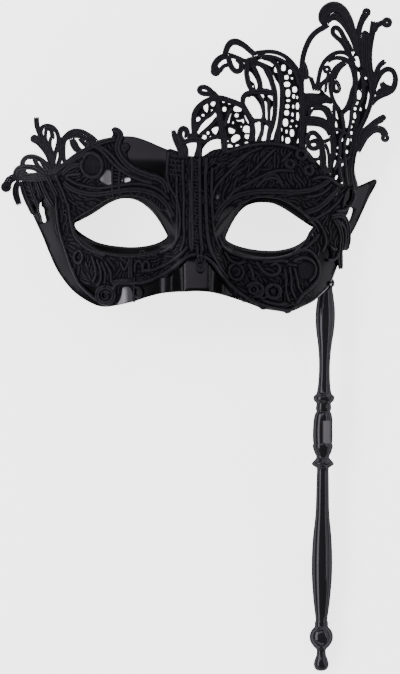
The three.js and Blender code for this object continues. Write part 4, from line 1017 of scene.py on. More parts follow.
RIGHT_CORDS = {
    "pendant": (2.6, [(197.4, 246), (198, 256), (199.4, 263)]),
    "pendant right": (2.4, [(201.4, 248), (201.6, 256), (201.6, 263)]),
    "nose right": (3, [(206.6, 158), (205.4, 178), (205.8, 200), (206.4, 222), (208, 240), (212, 254),
        (219, 267), (228, 279)]),
    "cheek edge right": (3, [(197, 255.6), (206, 258), (213, 264), (221, 274.6), (229, 284), (237, 291),
        (245, 297), (254.4, 302), (266, 306.4), (280, 309.4), (289, 310.6), (296, 306)]),
    "edge knot": (2.4, [(240, 297), (243, 300.8), (247, 301)]),
    "edge knot two": (2.4, [(258, 305), (262, 308.4), (266, 308.6)]),
    "edge knot three": (2.6, [(283, 309.6), (287, 312.4), (291, 310.6)]),
    "brow cords": (4.8, [(214, 222), (219, 211), (227, 202.4), (238, 196), (251.4, 192.6), (268, 191.4),
        (284, 192), (301, 191.6), (316, 188), (329, 180.4)]),
    "brow cords high": (2.6, [(226, 200), (236, 190.6), (247, 184.6), (258, 178.6), (269, 173.4),
        (281, 170.6), (294, 171)]),
    "brow root": (2.6, [(211.6, 200), (214.6, 190), (221, 181), (229, 172.6), (238, 163), (248, 154)]),
    "feather rim": (3, [(226, 153), (240, 149), (256, 145.4), (270, 144.4), (284, 146), (298, 149.4)]),
    "brow ring": (3.2, [(301, 150.6), (305.4, 153), (304.4, 158), (299.6, 159), (296.6, 155.4),
        (298, 151.4), (301, 150.6)]),
    "brow ring two": (3.2, [(309, 166), (312.4, 169.6), (310, 174), (305.4, 173), (304.6, 168.6),
        (309, 166)]),
    "brow ring three": (3.2, [(289, 160), (293.4, 163), (291.4, 167.6), (286.4, 166.4), (286, 162),
        (289, 160)]),
    "brow swirl": (3, [(256, 188), (263, 181), (271, 178), (279, 180.4), (282, 187)]),
    "temple band": (4.8, [(305, 213), (315, 209), (324, 203), (332, 195), (339, 187)]),
    "temple band low": (2.6, [(308, 222), (318, 217), (329, 210), (337, 202.4), (343, 194)]),
    "temple fan": (2.6, [(311, 180), (320, 177), (329, 178), (337, 183.6), (344, 185.6)]),
    "wing loop": (3, [(352.6, 187), (354.6, 193), (353.4, 200.6), (349, 206.6), (343, 210.4),
        (336, 211)]),
    "wing loop inside": (2.4, [(349, 188), (345.6, 194), (343.6, 201), (342.6, 208)]),
    "wing drop": (4.6, [(331, 217), (338, 215.2), (344.6, 217.4), (347.6, 223.6), (348.6, 232),
        (348.8, 240), (347.4, 246.6)]),
    "wing strands": (4.6, [(334.6, 219), (339, 226), (341.6, 237), (340.6, 248), (339.6, 260),
        (341, 269)]),
    "wing strand": (2.6, [(337, 221), (343.6, 226), (345.4, 238), (344, 248)]),
    "wing hook": (2.8, [(327.4, 259.6), (332, 260.4), (336, 258), (338.4, 253)]),
    "wing hook two": (2.6, [(330, 245.6), (333, 249), (337.4, 249)]),
    "outer eye cords": (2.6, [(312, 217), (319, 224), (324, 233), (325.6, 243), (322, 252)]),
    "outer eye net": (2.2, [(304, 213), (309.6, 218.6), (314.6, 224.6), (318.6, 232)]),
    "outer eye tie": (1.8, [(311.2, 228.4), (315.4, 233), (318, 238)]),
    "outer eye tie two": (1.8, [(308.4, 233), (313, 237), (317, 241)]),
    "outer eye tie three": (1.8, [(317, 226.4), (312.4, 232), (309.6, 237.6), (305.6, 241)]),
    "under eye right": (2.8, [(218, 236), (222, 246), (230, 252.4), (242, 257), (257, 259.4), (273, 259),
        (288, 256), (301, 250.4), (311, 243), (319, 234)]),
    "cheek band": (3, [(224, 252), (229, 260), (237, 264), (245, 262)]),
    "rosette": (3, [(235.6, 263.6), (241, 267), (243.4, 273), (240, 279), (233, 279.4), (228.4, 274),
        (229.4, 267.4), (235.6, 263.6)]),
    "rosette heart": (2.8, [(232, 272), (235, 268.4), (239, 271), (237.4, 275.4), (233.6, 275.4)]),
    "cheek coil": (3, [(246, 287), (252, 283.6), (259, 284), (263, 290), (260, 296), (254, 296)]),
    "cheek loop": (3, [(256, 262), (261, 269), (267, 274.6), (275, 275), (279.6, 269), (276, 264),
        (270, 266)]),
    "cheek rib": (3, [(248, 264), (252, 272), (253, 281)]),
    "cheek ring right": (3.4, [(272.6, 284.4), (278, 287), (280, 292), (277, 297.4), (271, 298),
        (266.6, 293.6), (267.4, 287.4), (272.6, 284.4)]),
    "cheek chain": (3, [(262, 300), (270, 303), (279, 304.6), (287, 303.6)]),
    "disc cord": (3.4, [(292, 254), (301, 250.4), (309, 251.4), (315.6, 258), (319, 267), (317.6, 278),
        (311, 287), (302, 295), (296, 303)]),
    "disc cord inside": (3, [(293, 262), (297.6, 259), (304, 257.8), (311, 260.4), (315.2, 267),
        (314.4, 275), (308.6, 281.6)]),
    "cheek vein": (2.8, [(262, 262), (272, 262), (281, 261), (288, 262)]),
    "nose rope four": (2.6, [(212, 168), (211.6, 190), (212.4, 215), (214.4, 236), (220, 250)]),
    "comb right three": (2.4, [(294, 268), (296.6, 279), (298.6, 288), (303, 295)]),
    "comb right two": (2.4, [(289, 267), (291, 279), (291.4, 290), (296, 300)]),
    "comb right one": (2.4, [(284, 268), (286, 279), (285.6, 291), (289, 302)]),
    "chain ring two": (2.4, [(263, 290), (266.6, 292.4), (266, 297), (261.6, 298), (259, 294.6),
        (260, 291), (263, 290)]),
    "chain ring one": (2.4, [(253, 285), (257, 287), (257.6, 291.6), (254, 294), (250, 292),
        (249.6, 287.6), (253, 285)]),
    "temple sweep three": (2.6, [(312, 213), (325, 203.6), (333, 193), (338, 186.6)]),
    "temple sweep two": (2.6, [(305, 197), (318, 195), (326, 190), (332, 184)]),
    "temple sweep": (2.6, [(305, 190), (320, 187), (330, 180)]),
    "brow hook": (2.6, [(262, 181), (268, 176), (275, 175), (279, 179.6), (276, 184)]),
    "feather long": (2.6, [(281, 163), (287, 157), (292, 152)]),
    "feather sweep": (2.6, [(246, 178), (257, 168), (266, 158), (276, 148.6)]),
    "feather low": (2.6, [(228, 168), (238, 160), (250, 153), (262, 148)]),
}
# Knots: the middle and the radius, and for some the radius of the hole in the middle.
KNOTS = {
    "spray arm bud": (5.7, 186.7, 5.8), "spray bud": (34.3, 138.9, 4.8),
    "right stem bud": (366.3, 12.8, 5), "sprig bud": (386.9, 22.5, 6), "low bud": (385.4, 137.8, 5),
    "column bud": (365.3, 34.4, 4.2), "ring bud": (326.8, 69.6, 4.8), "pendant bud": (200.5, 268.2, 4.6),
    "low twig bud": (383, 117.4, 3.8),
    "crest bud": (215.8, 71.9, 5.8), "curl bud": (318, 144.6, 3), "brow bud": (125, 148.4, 4.6),
    "wing bud": (346.4, 246.4, 4), "stem bud": (364.5, 84.5, 3.2), "ring heart right": (273, 291.2, 3),
    "disc bud": (90.7, 155.6, 3.4),
}
OPEN_KNOTS = {"ring bud": 1.1, "sprig bud": 0.6, "low bud": 0.7, "right stem bud": 0.5}
# Ways in which the ground runs: a place, and the angle there in degrees, clockwise from the right.
FLOW = np.array([
    (35, 195, 66), (50, 190, 64), (60, 172, 20), (62, 210, 84), (60, 232, 86), (68, 255, 68),
    (76, 272, 64), (84, 258, 80), (90, 292, 40), (100, 272, 78), (112, 268, 72), (122, 268, 96),
    (132, 270, 90), (145, 264, 150), (145, 278, 165), (160, 268, 150), (170, 258, 140),
    (180, 250, 118), (76, 246, 40), (95, 253, 16), (120, 259, 4), (150, 257, 165), (80, 190, 18),
    (100, 193, 2), (125, 190, 178), (148, 192, 14), (165, 205, 54), (175, 225, 84), (70, 168, 140),
    (84, 180, 20), (100, 150, 50), (115, 160, 60), (130, 175, 30), (150, 182, 20), (168, 165, 86),
    (180, 170, 88), (182, 220, 90), (196, 200, 88), (208, 200, 92), (214, 230, 88), (222, 252, 52),
    (235, 290, 40), (215, 175, 120), (228, 165, 140), (245, 160, 128), (262, 158, 118),
    (280, 158, 100), (296, 160, 82), (240, 182, 148), (262, 176, 150), (285, 180, 96),
    (300, 180, 84), (222, 210, 118), (236, 198, 146), (256, 193, 174), (280, 192, 4), (304, 200, 24),
    (318, 172, 30), (320, 190, 160), (330, 195, 140), (312, 212, 150), (322, 232, 88),
    (340, 230, 84), (338, 258, 92), (232, 256, 24), (256, 261, 4), (284, 259, 172), (306, 247, 142),
    (230, 272, 60), (244, 272, 96), (256, 276, 60), (270, 272, 20), (250, 296, 20), (270, 302, 12),
    (285, 285, 86), (296, 285, 80), (308, 290, 140), (316, 264, 86), (300, 300, 150)], float)
# How a given way fades with distance, and the slow wander: its angle in radians, its size in squares
# and its level in the noise.
FLOW_REACH = dict(blend=9, power=1.6)
WANDER = dict(angle=1.5, size=11, level=3.7)
# The ground's cords in squares: the gap between them, of which a running cord keeps the share near.
GROUND_GAP = 2.35
GROUND = dict(seed=41, seed_gap=2.2, step=0.8, length=(7, 22), bend=0.045, near=0.82, fewest=4,
              thickness=(0.4, 0.5), border=1.2, hole_border=1.1, beyond=3)
# Satin: the patch, the way of its threads in degrees, and how far apart they lie.
SATIN_PATCHES = {
    "left disc": (oval(92.5, 165.6, 17, 20), 80, 1.0),
    "right disc": (oval(305.7, 270.4, 16, 18), 75, 1.0),
    "crest mass": ([(244.5, 60), (250, 57), (256, 57), (257, 62), (252, 68), (246, 70.6)], 35, 0.9),
    "panel": ([(304.4, 94), (312, 93.4), (321, 95), (329, 97), (331, 103), (324, 103), (317, 106),
               (309, 108), (306, 116), (304, 117)], 62, 0.9),
    "stem foot": ([(341, 166), (352, 166), (355.6, 184), (342, 182.6)], 20, 1.0),
    "temple patch": ([(48, 170), (58, 167), (62, 172), (55, 180), (46, 179)], 30, 1.0),
    "rosette leaf": (oval(236, 271.6, 12, 13), 40, 1.0),
    "lid patch": ([(128, 170), (138, 175.6), (150, 179.6), (160, 184.6), (150, 184), (136, 181)], 70, 1.0),
}
# Rungs of the ladders, each from end to end.
LADDER_RUNGS = (
    [((192.6, y), (199.8, y + 1.2)) for y in np.arange(160, 250, 3.4)]
    + [((169, y), (182, y + 1.5)) for y in np.arange(156, 176, 4.6)]
    + [((113, y), (120.4, y + 0.6)) for y in np.arange(170, 198, 3.4)]
    + [((361.4, y), (365.6, y + 0.6)) for y in np.arange(37, 60, 3.2)]
)
# The lace on the shell: its border, and the places in it where the shell is bare.
SHELL_LACE = (
    [(20, 182.4), (33, 180), (50, 173), (67.5, 162.7), (88, 147.6), (110.4, 138.8), (113.2, 134),
     (111.6, 129.4), (114.4, 128.4), (119.6, 131), (122.4, 137), (121, 143), (127, 143.4),
     (130, 146), (127, 153), (128, 158), (133, 165), (140, 168), (150, 172), (158, 174),
     (163, 178), (166, 170), (167, 152), (169, 149.6), (177, 151.6), (187, 157.4), (196, 157.6),
     (203, 156.6), (212, 151), (222, 149), (234, 147.4), (246, 145), (264, 142.4), (277, 143),
     (290, 146), (303, 148.6), (312, 157), (320, 167), (330, 176), (340, 184.4), (355, 187),
     (354.6, 195), (352.4, 202), (346, 209.6), (335.6, 211), (335.6, 215.6), (346, 216.4),
     (349.4, 223), (349.8, 236), (350, 243), (347.4, 250), (343.4, 250), (343, 258), (342.4, 268.6),
     (340, 268), (337, 259), (328.4, 261.8), (330.6, 258), (331.4, 254), (330, 249),
     (326, 245.6), (321.6, 247.4), (321, 262), (320.6, 272), (318, 279), (313, 284), (311, 290),
     (311.4, 295.6), (304, 301), (297, 306), (288, 311.8), (272, 309.4), (256, 305), (243, 300),
     (233, 294), (228, 288), (224, 282), (219, 275), (215, 270), (213, 266), (210, 261),
     (207, 258), (200, 257), (193, 257), (188, 259), (183, 263), (178, 268), (171, 273),
     (168, 277), (163, 277.5), (156, 279.5), (150, 284), (143, 286), (135.6, 284.4),
     (135, 302), (133.4, 302), (132.6, 292), (129, 287), (122, 288), (121, 294), (117.4, 303),
     (112, 306), (101, 304), (97, 300), (95.5, 292), (96, 287), (88, 286), (81, 284), (76, 278),
     (71, 268), (67, 258), (66, 250), (62, 250), (60.5, 240), (56, 236), (53.5, 226), (54, 212),
     (49.6, 202), (45, 196), (41, 200.4), (39.4, 204), (36, 203), (31, 207), (26.4, 200),
     (22, 190)])
BARE_PLACES = [
    [(72.4, 222.8), (78, 218), (88, 212), (100, 204.6), (110, 199), (119, 196.8), (130, 196),
     (142, 198), (153, 203.6), (161, 210.6), (166, 210.4), (170, 218), (174, 226), (176.4, 233),
     (175.4, 240), (168, 248), (154, 253.6), (138, 256.4), (122, 256.4), (106, 253.4), (93, 248.4),
     (82, 240.4), (75, 231.6)],
    [(215.6, 241), (214.6, 232), (218.6, 222), (224, 211.4), (232, 208), (235, 210), (240, 205.4),
     (246, 202.4), (254, 198.6), (264, 197.4), (277, 199), (286, 202), (297, 208.4), (306, 215),
     (314, 223), (312.4, 228), (309, 232.6), (306.6, 237.6), (302, 244.6), (292, 252.6), (280, 256.4),
     (268, 257.6), (256, 257.4), (243, 254.6), (229, 249.6), (220, 246)],
    [(106, 170.4), (102, 176), (98.4, 181), (103, 184), (109, 186.6), (111, 186.6), (110.8, 171.4)],
    oval(121.6, 182.4, 2.4, 5, 10), oval(126, 180.6, 10.4, 4.8, -12),
    [(344.6, 203), (346, 198), (348.8, 190.6), (351.2, 188.4), (352, 195), (350.8, 200), (347, 205)],
    oval(179, 194.6, 2.6, 3.6), oval(122.4, 174.3, 2.6, 1.6), oval(116.6, 185, 1.6, 2.4),
    oval(119.2, 192, 2.2, 2), oval(163.8, 199, 1.8, 2.6), oval(143, 253.6, 4.6, 3, 30),
    oval(149, 258, 2.4, 1.8), oval(194.4, 236.6, 1.4, 6.4), oval(65, 212.5, 2, 3),
    oval(218, 197, 3, 6, 20), oval(225, 202.2, 2.4, 2), oval(236.6, 190, 7.4, 1.8, -16),
    oval(252.6, 175, 4, 1.6, -30), oval(254, 181, 10, 1.6, -32), oval(271, 180, 2.4, 2),
    oval(262.2, 186, 2, 1.6), oval(284.4, 186, 2, 2), oval(287.6, 194.2, 10, 1.6, -6),
    oval(244, 261.5, 2.2, 2.2), oval(255, 280, 2.6, 1.8, 40), oval(337.4, 192.6, 2.4, 5, 28),
    oval(334.2, 197, 1.8, 2.4), oval(343.4, 222, 1.8, 2.6), oval(313.6, 230, 1.8, 2),
    oval(312, 235, 2.2, 2.2), oval(309.2, 238.8, 1.6, 1.6), oval(257, 298.4, 8, 5, -30),
    oval(282.4, 297, 2.6, 11, -8), oval(118, 283.6, 3.6, 3), oval(105, 295.4, 5.6, 6.4),
    [(189.4, 180), (192.4, 178), (195.6, 181), (196.4, 187), (193, 192), (189.6, 189)],
    [(200.4, 176), (204, 173.4), (207.6, 175), (207, 183), (204, 191.4), (200.6, 188)],
    [(207.4, 171), (211, 166.4), (215.6, 164), (217.6, 165.4), (213.4, 169.4), (209, 172.4)],
]


# Lace: making

# Steps, widths and margins in squares. Fullness is a cord's radius over its distance to the next.
CORD_STEP = 1.0
BAND_STEP = 0.5
THINNEST = 0.8
KNOT = dict(pitch=1.5, fullness=0.62, fewest_turns=1.4, per_turn=14, fewest=12)
SATIN = dict(edge_step=0.8, thread_step=1.2, fullness=0.58, fewest=3)
CORD_SINK = 0.4
# The radius at a cord's last place and the one before it, as shares of its radius there.
CORD_ENDS = (0.4, 0.88)
RUNG_RADIUS = 0.9
NET_MESH = dict(plate_step=1.4, hole_step=0.7, cover_step=1.6, bare_step=1.0, spacing=4.0, rim=0.3,
                rim_steps=2)
KNOT_INSET = 1.6
SMALLEST_CORDED = 2


def cord_lines(widths, points, extra):
    """The cords side by side along one line: each a line, its radius, and whether it is closed."""
    line = smooth_line(points, step=CORD_STEP)
    widths = extra + np.interp(np.linspace(0, 1, len(line)), np.linspace(0, 1, np.size(widths)),
                               np.atleast_1d(widths))
    count = max(1, round(widths.max() / CORD_SQUARES))
    pitch = widths / count
    return [(beside(line, (k - (count - 1) / 2) * pitch[:, None]), pitch * CORD_FULLNESS, False)
            for k in range(count)]


def band_between(one_side, other_side, count):
    """Cords laid side by side between two lines, closer together where the lines are."""
    rims = [evenly(smooth_line(points, step=BAND_STEP), False, BAND_STEP)
            for points in (one_side, other_side)]
    places = np.linspace(0, 1, max(map(len, rims)))
    rims = [np.column_stack([np.interp(places, np.linspace(0, 1, len(rim)), rim[:, k]) for k in (0, 1)])
            for rim in rims]
    across = rims[1] - rims[0]
    radius = np.maximum(np.hypot(*across.T) / (count - 1) * CORD_FULLNESS, THINNEST)
    return [(rims[0] + across * k / (count - 1), radius, False) for k in range(count)]


def laid(cords, extra=0):
    """All cords of a list of places, each made wider by extra squares."""
    return [cord for widths, points in cords.values() for cord in cord_lines(widths, points, extra)]


def coil(x, y, radius, hole):
    """A knot: one cord wound flat from its middle, or round a small hole, to its edge."""
    pitch = KNOT["pitch"]
    turns = max(KNOT["fewest_turns"], (radius - hole) / pitch)
    t = np.linspace(0, 1, max(KNOT["fewest"], int(turns * KNOT["per_turn"])))
    angle = t * turns * 2 * math.pi
    reach = hole + pitch / 2 + t * (radius - hole - pitch)
    line = np.column_stack([x + reach * np.cos(angle), y + reach * np.sin(angle)])
    return line, pitch * KNOT["fullness"], False


def satin(loop, angle, pitch):
    """Threads laid side by side across a patch."""
    edge = smooth_line(loop, closed=True, step=SATIN["edge_step"])
    c, s = math.cos(math.radians(angle)), math.sin(math.radians(angle))
    turned = np.column_stack([edge[:, 0] * c + edge[:, 1] * s, -edge[:, 0] * s + edge[:, 1] * c])
    threads = []
    following = np.roll(turned, -1, 0)
    for level in np.arange(turned[:, 1].min() + pitch / 2, turned[:, 1].max(), pitch):
        crossing = (turned[:, 1] > level) != (following[:, 1] > level)
        a, b = turned[crossing], following[crossing]
        if len(a) < 2:
            continue
        x = a[:, 0] + (level - a[:, 1]) / (b[:, 1] - a[:, 1]) * (b[:, 0] - a[:, 0])
        count = max(SATIN["fewest"], int((x.max() - x.min()) / SATIN["thread_step"]) + 2)
        run = np.linspace(x.min(), x.max(), count)
        thread = np.column_stack([run * c - level * s, run * s + level * c])
        threads.append((thread, pitch * SATIN["fullness"], False))
    return threads


def flow_at(x, y):
    """Which way the small cords run at a place: the guides near it, with a slow wander."""
    gap = (FLOW[:, 0] - x) ** 2 + (FLOW[:, 1] - y) ** 2
    near = 1 / (gap + FLOW_REACH["blend"]) ** FLOW_REACH["power"]
    double = np.radians(FLOW[:, 2]) * 2
    angle = math.atan2((near * np.sin(double)).sum(), (near * np.cos(double)).sum()) / 2
    place = Vector((x / WANDER["size"], y / WANDER["size"], WANDER["level"]))
    return angle + WANDER["angle"] * noise.noise(place)


def lace_ground(main_cords, cover, bare):
    """Small cords, evenly apart, that fill the lace between the main ones."""
    random = np.random.default_rng(GROUND["seed"])
    cells = {}

    def note(x, y):
        cells.setdefault((int(x // GROUND_GAP), int(y // GROUND_GAP)), []).append((x, y))

    def clear(x, y, gap, own=()):
        column, row = int(x // GROUND_GAP), int(y // GROUND_GAP)
        for i in (-1, 0, 1):
            for j in (-1, 0, 1):
                for a, b in cells.get((column + i, row + j), ()):
                    if (a - x) ** 2 + (b - y) ** 2 < gap * gap and (a, b) not in own:
                        return False
        return True

    def allowed(x, y):
        return lace[int(round(y)), int(round(x))]

    def run(x, y, way, longest, bend, own):
        """The places of one cord from its seed to one of its ends."""
        half, at, heading = [], np.array([x, y]), None
        while len(half) * GROUND["step"] < longest:
            angle = flow_at(*at) + bend * len(half) * GROUND["step"] * way
            ahead = np.array([math.cos(angle), math.sin(angle)])
            if heading is None:
                ahead = ahead * way
            elif ahead @ heading < 0:
                ahead = -ahead
            at, heading = at + ahead * GROUND["step"], ahead
            if not allowed(*at) or not clear(*at, GROUND_GAP * GROUND["near"], own):
                break
            half.append(tuple(at))
        return half

    for line, _, _ in main_cords:
        for x, y in line:
            note(x, y)
    low, high = cover.min(0), cover.max(0)
    grid = np.stack(np.meshgrid(np.arange(low[0], high[0], GROUND["seed_gap"]),
                                np.arange(low[1], high[1], GROUND["seed_gap"])), -1)
    seeds = grid.reshape(-1, 2) + random.uniform(-1, 1, (grid.size // 2, 2))
    rows, columns = np.mgrid[0:int(high[1]) + GROUND["beyond"], 0:int(high[0]) + GROUND["beyond"]]
    places = np.column_stack([columns.ravel(), rows.ravel()]).astype(float)
    lace = inside(places, grown(cover, -GROUND["border"]))
    for hole in bare:
        lace &= ~inside(places, grown(hole, GROUND["hole_border"]))
    lace = lace.reshape(rows.shape)
    random.shuffle(seeds)
    cords = []
    for x, y in seeds:
        if not allowed(x, y) or not clear(x, y, GROUND_GAP):
            continue
        longest = random.uniform(*GROUND["length"]) / 2
        bend = random.uniform(-1, 1) * GROUND["bend"]
        onward = run(x, y, 1, longest, bend, set())
        back = run(x, y, -1, longest, bend, set(onward))
        line = back[::-1] + [(x, y)] + onward
        if len(line) < GROUND["fewest"]:
            continue
        for place in line:
            note(*place)
        cords.append((np.array(line), GROUND_GAP * random.uniform(*GROUND["thickness"]), False))
    return cords


def stitched_cord_tree():
    """Sweeps a round cord along each line, with a rib for every stitch round it."""
    tree = bpy.data.node_groups.new("stitched_cord", "GeometryNodeTree")
    for name, kind in (("Lines", "Geometry"), ("Rib length", "Float"), ("Rib depth", "Float"),
                       ("Sides", "Int"), ("Thread", "Material")):
        tree.interface.new_socket(name=name, in_out="INPUT", socket_type="NodeSocket" + kind)
    tree.interface.new_socket(name="Cords", in_out="OUTPUT", socket_type="NodeSocketGeometry")
    given = node(tree, "NodeGroupInput").outputs
    curve = node(tree, "GeometryNodeMeshToCurve", Mesh=given["Lines"]).outputs["Curve"]
    stitches = node(tree, "GeometryNodeResampleCurve", dict(mode="LENGTH"), Curve=curve,
                    Length=given["Rib length"]).outputs["Curve"]
    radius = node(tree, "GeometryNodeInputNamedAttribute", dict(data_type="FLOAT"),
                  Name="cord_radius").outputs["Attribute"]
    every_other = math_node(tree, "PINGPONG", node(tree, "GeometryNodeInputIndex").outputs[0], 1)
    rib = math_node(tree, "SUBTRACT", 1, math_node(tree, "MULTIPLY", every_other, given["Rib depth"]))
    ring = node(tree, "GeometryNodeCurvePrimitiveCircle", Resolution=given["Sides"],
                Radius=1).outputs["Curve"]
    made = node(tree, "GeometryNodeCurveToMesh", Curve=stitches, Profile_Curve=ring, Fill_Caps=True,
                Scale=math_node(tree, "MULTIPLY", radius, rib)).outputs["Mesh"]
    made = node(tree, "GeometryNodeSetShadeSmooth", Geometry=made).outputs["Geometry"]
    made = node(tree, "GeometryNodeRealizeInstances", Geometry=made).outputs["Geometry"]
    made = node(tree, "GeometryNodeSetMaterial", Geometry=made, Material=given["Thread"])
    node(tree, "NodeGroupOutput", Cords=made.outputs["Geometry"])
    return tree


CORD_TREE = stitched_cord_tree()


def sweep_cords(name, lines, lift, sides, material):
    """One piece of lace cords from lines on the sheet."""
    vertices, edges, radii = [], [], []
    for line, radius, closed in lines:
        radius = np.broadcast_to(radius, len(line)).copy()
        if closed:
            line, radius = np.vstack([line, line[:1]]), np.append(radius, radius[0])
        first = len(radii)
        height = lace_height(line, lift + radius * SQUARE * CORD_SINK)
        vertices.append(to_metres(line, height))
        if not closed and len(line) > 2 * len(CORD_ENDS):
            for k, share in enumerate(CORD_ENDS):
                radius[[k, -1 - k]] *= share
        radii.extend((radius * SQUARE * MM).tolist())
        edges.extend((first + i, first + i + 1) for i in range(len(line) - 1))
    mesh = bpy.data.meshes.new(name)
    mesh.from_pydata(np.vstack(vertices).tolist(), edges, [])
    mesh.attributes.new("cord_radius", "FLOAT", "POINT").data.foreach_set("value", radii)
    piece = bpy.data.objects.new(name, mesh)
    bpy.context.scene.collection.objects.link(piece)
    modifier = piece.modifiers.new("cords", "NODES")
    modifier.node_group = CORD_TREE
    inputs = {"Rib length": RIB_LENGTH * MM, "Rib depth": RIB_DEPTH, "Sides": sides, "Thread": material}
    for socket in CORD_TREE.interface.items_tree:
        if socket.name in inputs:
            modifier[socket.identifier] = inputs[socket.name]
    ready = piece.evaluated_get(bpy.context.evaluated_depsgraph_get())
    piece_mesh = bpy.data.meshes.new_from_object(ready)
    piece.modifiers.clear()
    piece.data = piece_mesh
    piece_mesh.name = name
    return piece


def belongs_to_lace(piece):
    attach(piece, "root")
    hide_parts("lace_applique")


def make_net(cover, bare):
    """The net under the cords, and a cord round each of its larger openings."""
    plates = [(smooth_line(edge, True, NET_MESH["plate_step"]),
               [smooth_line(hole, True, NET_MESH["hole_step"]) for hole in holes])
              for edge, holes in PLATES.values()]
    plates.append((cover, bare))
    for name, (x, y, radius) in KNOTS.items():
        disc, hole = 2 * radius - KNOT_INSET, 2 * OPEN_KNOTS.get(name, 0)
        plates.append((np.array(oval(x, y, disc, disc, squareness=2)),
                       [np.array(oval(x, y, hole, hole, squareness=2))] if hole else []))

    def keep(places):
        kept = np.zeros(len(places), bool)
        for edge, holes in plates:
            here = inside(places, edge)
            for hole in holes:
                here &= ~inside(places, hole)
            kept |= here
        return kept

    loops = [loop for edge, holes in plates for loop in [edge] + holes]
    rims = [(grown(hole, RIM_CORD / 2 - RIM_INSET), RIM_CORD / 2, True)
            for _, holes in plates for hole in holes if abs(area_of(hole)) > SMALLEST_CORDED]
    net = curved_plate("lace_net", loops, [], keep, NET_MESH["spacing"], lambda at: lace_height(at, 0),
                       lambda at: lace_height(at, NET_THICKNESS), NET_MESH["rim"], NET_MESH["rim_steps"],
                       shaded_net_black)
    return net, rims


cover = smooth_line(SHELL_LACE, True, NET_MESH["cover_step"])
bare = [smooth_line(hole, True, NET_MESH["bare_step"]) for hole in BARE_PLACES]
net, opening_rims = make_net(cover, bare)
belongs_to_lace(net)
plume = laid(PLUME_CORDS, PLUME_EXTRA)
for one, other, count in CAP_CORDS:
    plume += band_between(CAP_RIMS[one], CAP_RIMS[other], count)
left, right = laid(LEFT_CORDS), laid(RIGHT_CORDS)
covered = [smooth_line(patch[0], True, NET_MESH["bare_step"]) for patch in SATIN_PATCHES.values()]
ground = lace_ground(left + right, cover, covered + bare)
ground_left = [cord for cord in ground if cord[0][0, 0] < NOSE_LINE]
ground_right = [cord for cord in ground if cord[0][0, 0] >= NOSE_LINE]
raised = [coil(*knot, OPEN_KNOTS.get(name, 0)) for name, knot in KNOTS.items()]
raised += [thread for patch in SATIN_PATCHES.values() for thread in satin(*patch)]
raised += [(evenly(np.array(rung), False, CORD_STEP), RUNG_RADIUS, False) for rung in LADDER_RUNGS]
# The pieces: their cords, how many thicknesses of the net they stand on, and how many sides they have.
on_net = []
for name, lines, rise, sides in (
        ("plume_cords", plume, 1, 6), ("left_cords", left, 1, 7), ("right_cords", right, 1, 7),
        ("left_ground", ground_left, 0.5, 6), ("right_ground", ground_right, 0.5, 6),
        ("opening_rims", opening_rims, 0.6, 6), ("knots_and_satin", raised, 1, 6)):
    on_net.append(sweep_cords(name, lines, NET_THICKNESS * rise, sides, thread_black))
    belongs_to_lace(on_net[-1])


# Floor, lights and camera

FLOOR_REACH = 3.0
FLOOR_WHITE = 0.9
FLOOR_ROUGHNESS = 0.9
FLOOR_GLOW = 2.6
ROOM_GLOW = 0.15
# Lamps: the direction in degrees (0 is the sheet's right and 90 its top), the height in degrees, the
# distance, length and height in metres, the power in watts, and for one its tint.
SOFTBOXES = {
    "left_softbox": (180, 42, 1.2, 1.6, 0.52, 19.5),
    "right_softbox": (15, 21, 1.3, 3.6, 0.42, 13),
    "right_high_softbox": (19, 42.5, 1.3, 1.5, 0.2, 5.4),
    "top_softbox": (112, 56, 1.3, 1.3, 0.46, 6.7, (0.95, 0.9, 1)),
    "top_low_softbox": (100, 17, 1.3, 2.6, 0.36, 6),
    "front_low_softbox": (-110, 22, 1.3, 2.2, 0.36, 6),
}


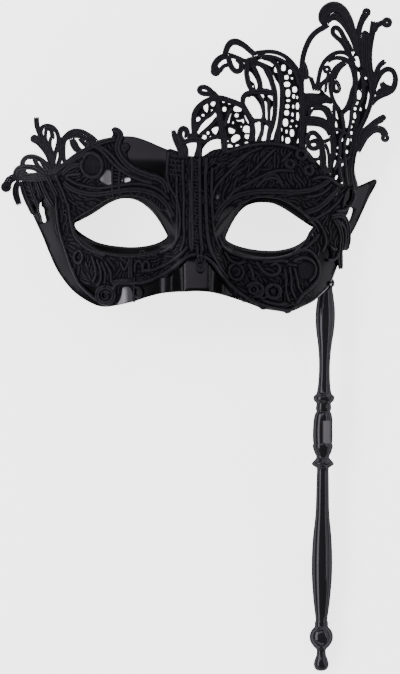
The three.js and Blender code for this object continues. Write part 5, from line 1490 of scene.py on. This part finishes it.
def make_floor():
    """A white light table, so the lace stands against an even glow."""
    white, _, surface = shader("white_floor", (FLOOR_WHITE,) * 3, FLOOR_ROUGHNESS)
    surface["Emission Color"].default_value = (1, 1, 1, 1)
    surface["Emission Strength"].default_value = FLOOR_GLOW
    corners = [(x * FLOOR_REACH, y * FLOOR_REACH, 0) for x, y in ((-1, -1), (1, -1), (1, 1), (-1, 1))]
    new_object("floor", corners, [(0, 1, 2, 3)], white)


def softbox(name, azimuth, elevation, distance, length, height, power, color=(1, 1, 1)):
    """A rectangular lamp that faces the mask."""
    lamp = bpy.data.lights.new(name, "AREA")
    lamp.shape = "RECTANGLE"
    lamp.size, lamp.size_y = length, height
    lamp.energy = power
    lamp.color = color
    holder = bpy.data.objects.new(name, lamp)
    bpy.context.scene.collection.objects.link(holder)
    around, above = math.radians(azimuth), math.radians(elevation)
    holder.location = (distance * math.cos(above) * math.cos(around),
                       distance * math.cos(above) * math.sin(around), distance * math.sin(above))
    holder.rotation_mode = "QUATERNION"
    holder.rotation_quaternion = (-holder.location).to_track_quat("-Z", "Y")


make_floor()
for name, lamp in SOFTBOXES.items():
    softbox(name, *lamp)
world = bpy.data.worlds.new("studio")
world.use_nodes = True
world.node_tree.nodes["Background"].inputs["Color"].default_value = (1, 1, 1, 1)
world.node_tree.nodes["Background"].inputs["Strength"].default_value = ROOM_GLOW
bpy.context.scene.world = world

PHOTO_SIZE = (400, 674)
CAMERA_DISTANCE = 8.0
FACE_LEVEL = 0.02
FILM_HEIGHT = 36
camera_data = bpy.data.cameras.new("camera")
camera_data.sensor_fit = "VERTICAL"
camera_data.sensor_height = camera_data.sensor_width = FILM_HEIGHT
camera_data.lens = FILM_HEIGHT * (CAMERA_DISTANCE - FACE_LEVEL) / (PHOTO_SIZE[1] * SQUARE * MM)
camera_data.clip_end = 100
camera = bpy.data.objects.new("camera", camera_data)
bpy.context.scene.collection.objects.link(camera)
camera.location = ((PHOTO_SIZE[0] / 2 - SHEET_MIDDLE[0]) * SQUARE * MM,
                   (SHEET_MIDDLE[1] - PHOTO_SIZE[1] / 2) * SQUARE * MM, CAMERA_DISTANCE)
bpy.context.scene.camera = camera
